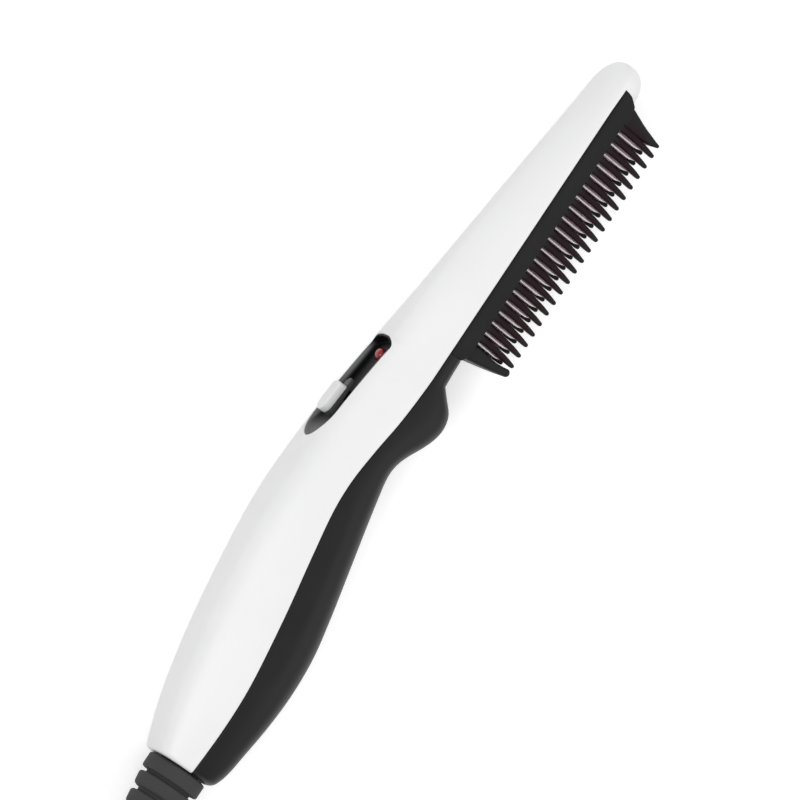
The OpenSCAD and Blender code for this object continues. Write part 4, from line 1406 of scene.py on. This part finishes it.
@dataclass(frozen=True)
class Switch:
    """Dished bezel, sliding cap on its dark carrier, and the red pilot lens.

    The dish lies depth under the back, and shallow under it at the cord end of its ramp. A point
    of rim is how far a ring grows past the hole and how far it lies under the back. Seat and
    proud are how far under and over the back the cap's two faces lie. Lens is its place and
    radius, foot the place where the carrier's underside is measured and its height over the
    floor there, and slot and stem are two ends and a half width.
    """

    shell: UpperShell
    depth: float = 3.1
    shallow: float = 0.9
    ramp: Span = (-2.5, 8.5)
    sheet: float = 1.0
    seat: float = 0.6
    proud: float = 2.0
    rim: Points = ((-0.12, 0.38), (-0.16, 0.30), (-0.28, 0.26), (-0.40, 0.28), (-0.50, 0.34),
                   (-0.57, 0.48))
    steep: float = 0.35
    corner: float = 0.45
    lens: Span = (29.3, 1.75)
    bulge: float = 0.92
    cap: Outline = Outline(6.7, 16.3, 2.8, (2.8, 0.8), (2.0, 2.6))
    cap_x: float = 11.0
    carrier: Outline = Outline(6.7, 19.0, 1.9, (1.9, 1.7), (2.0, 2.3))
    foot: Span = (6.2, 0.35)
    slot: Triple = (9.1, 15.9, 1.6)
    stem: Triple = (9.5, 12.5, 1.3)

    def floor(self, x: Array, w: Array | float = 0.0) -> Array:
        """Floor of the dish: level with the back's line, and a ramp up to its cord end."""
        ramp = (self.depth - self.shallow) * (1 - smooth(x, *self.ramp))
        return self.shell.crest.at(x) - self.depth + ramp + 0 * np.asarray(w)

    def under(self, x: Array, w: Array | float = 0.0) -> Array:
        """Underside of the dish."""
        return self.shell.crest.at(x) - self.depth - self.sheet + 0 * np.asarray(w)

    def paler(self, p: Array) -> Array:
        """Where the dish is painted paler, as painted light: up its wall, save near the lens, and
        at its cord end.
        """
        wall = smooth(p[:, 1] - self.floor(p[:, 0]), 0.45, 1.5) * (1 - smooth(p[:, 0], 29, 32.5))
        return np.maximum(wall, 1 - smooth(p[:, 0], 1, 8))

    def bezel(self) -> bpy.types.Object:
        """Makes the dish: rim, steep wall, soft corner and floor, with its slot and lens hole.

        The rim's rings are pairs of how far they grow and how far they lie under the back. The
        wall goes straight down to the corner, which is a quarter circle.

        Returns:
            The object.
        """
        top = self.shell.height
        edge, fall = self.rim[-1]
        rings = [(self.rim[0][0], self.under)]
        rings += [(grow, lambda x, w, down=down: top(x, w) - down) for grow, down in self.rim]
        rings += [(edge - self.steep * k, lambda x, w, k=k: (top(x, w) - fall) * (1 - k)
                   + (self.floor(x) + self.corner) * k) for k in np.linspace(0, 1, 5)[1:]]
        rings += [(edge - self.steep - self.corner * (1 - math.cos(a)),
                   lambda x, w, a=a: self.floor(x) + self.corner * (1 - math.sin(a)))
                  for a in QUARTER[1:]]
        mesh = Mesher()
        self.shell.hole.pad(mesh, rings)
        dish = mesh.build("switch_dish", 50)
        x0, x1, half = self.slot
        cut(dish, Mesher().block((x0, x1), (8.0, 20.0), half).build("slot"))
        x, radius = self.lens
        cut(dish, Mesher().post(x, radius + 0.05, (8, 30)).build("lens_hole"))
        # paints the walls and the cord end's ramp paler, as painted light
        mark(dish, self.paler)
        return dish

    def crown(self, x: Array, w: Array) -> Array:
        """Top of the cap: the back's line a fifth flatter, raised, less squares of x and w.

        Args:
            x: places along the comb.
            w: distances off the middle plane.

        Returns:
            The heights.
        """
        middle = self.shell.crest.at(self.cap_x)
        level = middle + (self.shell.crest.at(x) - middle) * 0.8 + self.proud
        return level - 0.006 * (x - self.cap_x)**2 - 0.02 * w**2

    def button(self) -> tuple[bpy.types.Object, bpy.types.Object]:
        """Makes the cap, whose top edge is a quarter circle, and the carrier with its stem.

        Returns:
            The cap and the carrier.
        """
        crest, soft = self.shell.crest, 0.45
        low = float(crest.at(self.foot[0])) - self.depth + self.foot[1]
        rings = [(grow, lambda x, w, up=up: crest.at(x) - self.seat + up)
                 for grow, up in ((-0.5, 0.0), (-0.12, 0.05), (0.0, 0.2))]
        rings += [(-soft * (1 - math.cos(a)),
                   lambda x, w, a=a: self.crown(x, w) - soft * (1 - math.sin(a))) for a in QUARTER]
        cap = Mesher()
        self.cap.pad(cap, rings)
        slide = Mesher().block(self.stem[:2], (14.0, low + 0.3), self.stem[2])
        rings = [(grow, lambda x, w, up=up: low + up + 0 * x)
                 for grow, up in ((-0.15, 0.0), (0.0, 0.12))]
        rings += [(grow, lambda x, w, down=down: crest.at(x) - self.seat - down)
                  for grow, down in ((0.0, 0.25), (-0.08, 0.1), (-0.25, 0.0))]
        self.carrier.pad(slide, rings)
        return cap.build("button_cap", 40), slide.build("button_carrier", 40)

    def dome(self) -> bpy.types.Object:
        """Makes the lens: a slightly flat half ball on a short shank.

        Returns:
            The object.
        """
        x, r = self.lens
        y = float(self.floor(np.array(x)))
        a = np.linspace(0, 2 * np.pi, 48, endpoint=False)
        tall = np.linspace(0, np.pi / 2, 14)[:-1]
        radius = np.concatenate([[r, r], r * np.cos(tall)])
        height = np.concatenate([[y - 1.5, y - 0.5], y + r * self.bulge * np.sin(tall)])
        radius, height = radius[:, None], height[:, None]
        rings = points3(x + radius * np.cos(a), height, radius * np.sin(a))
        return Mesher().loft(rings).build("pilot_lens", 50)

    def make(self) -> None:
        """Makes the whole switch."""
        settle(self.bezel(), BEZEL, Body.COMB, "bezel", "switch_bezel")
        cap, slide = self.button()
        settle(cap, CAP, Body.BUTTON, "button", "slide_button")
        settle(slide, CARRIER, Body.BUTTON, "bezel")
        settle(self.dome(), RED_LENS, Body.COMB, "lens", "led_lens")


# --- boot -----------------------------------------------------------------------------


@dataclass(frozen=True)
class Boot:
    """Ribbed rubber boot that tapers to the cord and turns with it."""

    x: float = -98.4
    axis_y: float = -4.6
    length: float = 37.9
    collar: float = 4.6
    rings: int = 6
    groove: float = 1.25
    depth: float = 1.8
    cord: float = 2.85
    wide: float = 9.0
    fall: float = 4.2

    def radius(self, t: Array | float) -> Array:
        """Outer radius: wide at the collar, and less by fall at the end, by a power of 0.9."""
        return self.wide - self.fall * np.asarray(t, float)**0.9

    def make(self) -> bpy.types.Object:
        """Makes the boot: each ring's edge is a sixth-power arch over the grooves' floor.

        Returns:
            The object.
        """
        step = (self.length - self.collar) / self.rings
        profile = [(0.0, self.cord), (0.0, 8.2), (-0.15, 8.7), (-0.5, self.wide),
                   (-self.collar + 0.5, self.wide), (-self.collar + 0.12, 8.85),
                   (-self.collar, 8.5), (-self.collar, 7.0)]
        gap = self.groove * 0.85
        for k in range(self.rings):
            start = self.collar + k * step + gap
            width = step - gap - (0.0 if k < self.rings - 1 else 0.2)
            for t in np.sin(np.linspace(-np.pi / 2, np.pi / 2, 19)):
                along = start + width * (t + 1) / 2
                out = float(self.radius((along - self.collar) / (self.length - self.collar)))
                arch = (1 - abs(t)**6)**0.5
                profile.append((-along, out - self.depth * (1 - arch) * min(1.0, out / 6.5)))
        profile += [(-self.length, self.cord + 0.9), (-self.length, self.cord)]
        mesh = Mesher().lathe((self.x, self.axis_y, 0), np.array(profile + [(0.0, self.cord)]), 96)
        skin = mesh.build("boot_skin", 40)
        return settle(skin, RUBBER, Body.BOOT, "boot_rubber", "strain_relief")


# --- cord, band and plug --------------------------------------------------------------


class End(Enum):
    """The two round ends of the hank, by the direction in which they lie."""

    FAR = -1
    NEAR = 1


Slot = tuple[int, int]


@dataclass(frozen=True)
class Lead:
    """Free mains cord: boot to hank, the folded hank in its band, and on to the plug.

    A slot of the hank is a track (0 inner, 1 outer) and a layer. The cord keeps its slot round
    the ends and on the +Y side, and moves to the next slot on the -Y side.
    """

    radius: float = 2.8
    length: float = 1800.0
    from_boot: Points = (
        (-136.45, -4.6, 14.5), (-141, -4.6, 14.4), (-146, -4.4, 13.8), (-151, -3.8, 12.5),
        (-157, -2.4, 10.2), (-163, -0.3, 7.5), (-169, 2.5, 5.2), (-175, 5.9, 3.6),
        (-181, 9.6, 2.9), (-188, 13.8, 2.8), (-195, 17.6, 2.8), (-202, 20.6, 2.8),
        (-209, 22.2, 2.8))
    to_plug: Points = (
        (-216.9, 16.3, 14.3), (-222.8, 14.7, 15.2), (-228.6, 12.1, 16.7), (-234.5, 8.4, 18.9),
        (-240.4, 4.7, 21), (-246.3, 2.1, 22.5), (-252.1, 0.5, 23.4), (-256, 0.1, 23.7),
        (-260, 0, 23.7))
    order: tuple[Slot, ...] = ((1, 1), (0, 1), (0, 2), (1, 2), (1, 3), (0, 3))
    hank_x: float = -257.0
    run: float = 46.0
    tracks: Span = (16.8, 22.4)
    waist: float = 17.2
    shoulder: float = 25.2
    move: float = 39.0

    def level(self, layer: int) -> float:
        """Height of a layer's middle above the surface."""
        return self.radius * (2 * layer - 1)

    def outer(self, u: Array) -> Array:
        """Half width of the bundle u mm from its middle: a squared sine from waist to shoulder."""
        rise = np.sin(np.pi / 2 * np.clip((np.abs(u) - 4) / (self.run - 4), 0, 1))**2
        return self.waist + (self.shoulder - self.waist) * rise

    def straight(self, side: int, start: Slot, stop: Slot, delay: float = 0.0) -> Array:
        """One run of the hank, along -X on its +Y side and along +X on its -Y side.

        Args:
            side: 1 for the +Y side, -1 for the other.
            start: slot at the run's start.
            stop: slot at its end.
            delay: how many mm after the run's start the move between them starts.

        Returns:
            (n, 3) points.
        """
        u = side * self.run * np.linspace(1, -1, 25)[1:-1]
        moved = smooth(self.run + u * -side, delay, delay + self.move)
        track = self.tracks[start[0]] + (self.tracks[stop[0]] - self.tracks[start[0]]) * moved
        z = self.level(start[1]) + (self.level(stop[1]) - self.level(start[1])) * moved
        return points3(self.hank_x + u, side * (self.outer(u) - self.shoulder + track), z)

    def bend(self, end: End, slot: Slot) -> Array:
        """Half circle round one end of the hank.

        Args:
            end: which end.
            slot: the slot that it keeps.

        Returns:
            (15, 3) points.
        """
        a = np.linspace(np.pi / 2, -np.pi / 2, 15) * -end.value
        r = self.tracks[slot[0]]
        x = self.hank_x + end.value * (self.run + r * np.cos(a))
        return points3(x, r * np.sin(a), self.level(slot[1]))

    def path(self) -> Array:
        """Centreline of the whole cord; each later pass round the hank moves sooner.

        Returns:
            (n, 3) points in mm.
        """
        parts = [np.array(self.from_boot), self.straight(1, self.order[0], self.order[0])[1:]]
        moves = list(zip(self.order, self.order[1:]))
        for k, (here, there) in enumerate(moves):
            left = len(moves) - 1 - k
            parts += [self.bend(End.FAR, here), self.straight(-1, here, there, 11.2 * left),
                      self.bend(End.NEAR, there)]
            parts.append(self.straight(1, there, there) if left else np.array(self.to_plug))
        return smooth_path(np.vstack(parts), 1.6)

    def make(self, goes_with: Sequence[bpy.types.Object]) -> bpy.types.Object:
        """Args:
            goes_with: the pieces that go with the cord; not used.

        Returns:
            The object.
        """
        path = self.path()
        steps = np.linalg.norm(np.diff(path, axis=0), axis=1)
        LOG.info("cord %.0f mm in steps of %.2f to %.2f mm", steps.sum(), steps.min(), steps.max())
        cord = Mesher(0).tube(path, self.radius, 14).build("cord", 60)
        settle(cord, CORD, Body.COMB, "cord", "mains_cord", "cord_hank")
        return cord

    def band(self) -> bpy.types.Object:
        """Makes the band: a woven strip round the waist, squared by a sixth power.

        Returns:
            The object.
        """
        a = np.linspace(0, 2 * np.pi, 72, endpoint=False)
        u, v = rounded(a, 6.0)
        rings = []
        for x, thick in ((-4.5, 0.0), (-4.5, 1.0), (-4.2, 1.2), (4.2, 1.2), (4.5, 1.0), (4.5, 0.0)):
            rings.append(points3(self.hank_x + x, (self.waist + 0.5 + thick) * u,
                                 np.maximum(8.5 + (8.5 + thick) * v, 0.0)))
        strip = Mesher(0).grid(np.stack(rings), wrap_rows=True, wrap_cols=True)
        return settle(strip.build("band", 50), BAND, Body.COMB, "tie", "cord_tie")


@dataclass(frozen=True)
class Plug:
    """Flat two-pole plug with ribbed grips and sleeved pins, lying on the hank, pins to -X."""

    x: float = -258.0
    z: float = 23.7
    length: float = 34.0
    height: float = 6.9
    spacing: float = 18.6
    pin: float = 19.0
    tip: float = 1.3
    width: Chain = Chain(((0, 4.6), (6, 5.4), (10, 6.9), (15, 10.4), (20, 14.0), (24, 15.6),
                          (34, 16.5)))

    def body(self) -> bpy.types.Object:
        """Makes the moulding: superellipses, with half sines as grip ribs on its shoulders.

        Returns:
            The object.
        """
        t = joined(even(0.6, 10, 0.8), even(10, 24, 0.35), even(24, self.length - 0.8, 1.0))
        ribs = 0.35 * np.clip(np.sin(2 * np.pi * (t - 11) / 2.2), 0, 1) * ((t > 11) & (t < 24))
        wide, tall = self.width.at(t), np.interp(t, (0, 12), (4.6, self.height))
        power = np.interp(t, (0, 8, 16), (2.0, 2.2, 4.5))
        a = np.linspace(0, 2 * np.pi, 64, endpoint=False)
        rows = [(along, wide[0] - less, tall[0] - less, power[0])
                for along, less in ((0.0, 0.7), (0.2, 0.25))]
        rows += list(zip(t, wide - ribs, tall, power))
        rows += [(self.length + along, wide[-1] - less, tall[-1] - less, power[-1])
                 for along, less in ((-0.5, 0.15), (-0.15, 0.45), (0.0, 0.9))]
        rings = []
        for along, w, h, n in rows:
            u, v = rounded(a, n)
            rings.append(points3(self.x - along, w * u, self.z + h * v))
        mesh = Mesher(0).loft(np.stack(rings))
        sleeve = np.array([(0, 1.45), (0, 1.65), (-10.35, 1.65), (-10.5, 1.55), (-10.5, 1.45),
                           (0, 1.45)])
        for y in (-self.spacing / 2, self.spacing / 2):
            mesh.lathe((self.x - self.length + 0.5, y, self.z), sleeve, 32)
        return settle(mesh.build("plug_moulding", 45), PLUG, Body.COMB, "plug", "plug_body")

    def pins(self) -> bpy.types.Object:
        """Makes both pins: a thin root in its sleeve, the bare pin and its rounded tip.

        Returns:
            The object.
        """
        mesh = Mesher(0)
        a = np.linspace(0, np.pi / 2, 7)
        tip = np.stack([self.pin - self.tip + self.tip * np.sin(a), 0.7 + self.tip * np.cos(a)], 1)
        root = [(-8, 0.0), (-8, 1.4), (10.02, 1.4), (10.02, 1.9), (10.15, 2.0)]
        profile = np.concatenate([root, tip, [(self.pin, 0.0)]])
        for y in (-self.spacing / 2, self.spacing / 2):
            mesh.lathe((self.x - self.length, y, self.z), profile * (-1, 1), 40)
        return settle(mesh.build("plug_prongs", 45), NICKEL, Body.COMB, "nickel", "plug_pins")


def main() -> None:
    """Builds everything in order."""
    logging.basicConfig(level=logging.INFO, format="%(message)s")
    View().make()
    lead, plug = Lead(), Plug()
    lead.make([lead.band(), plug.body(), plug.pins()])
    housing = Housing()
    housing.make()
    CombHead().make()
    Switch(housing.upper()).make()
    Boot().make()
    dress_inside()
    Studio().make()
    bpy.context.scene.view_settings.view_transform = "Standard"


if __name__ == "__main__":
    main()
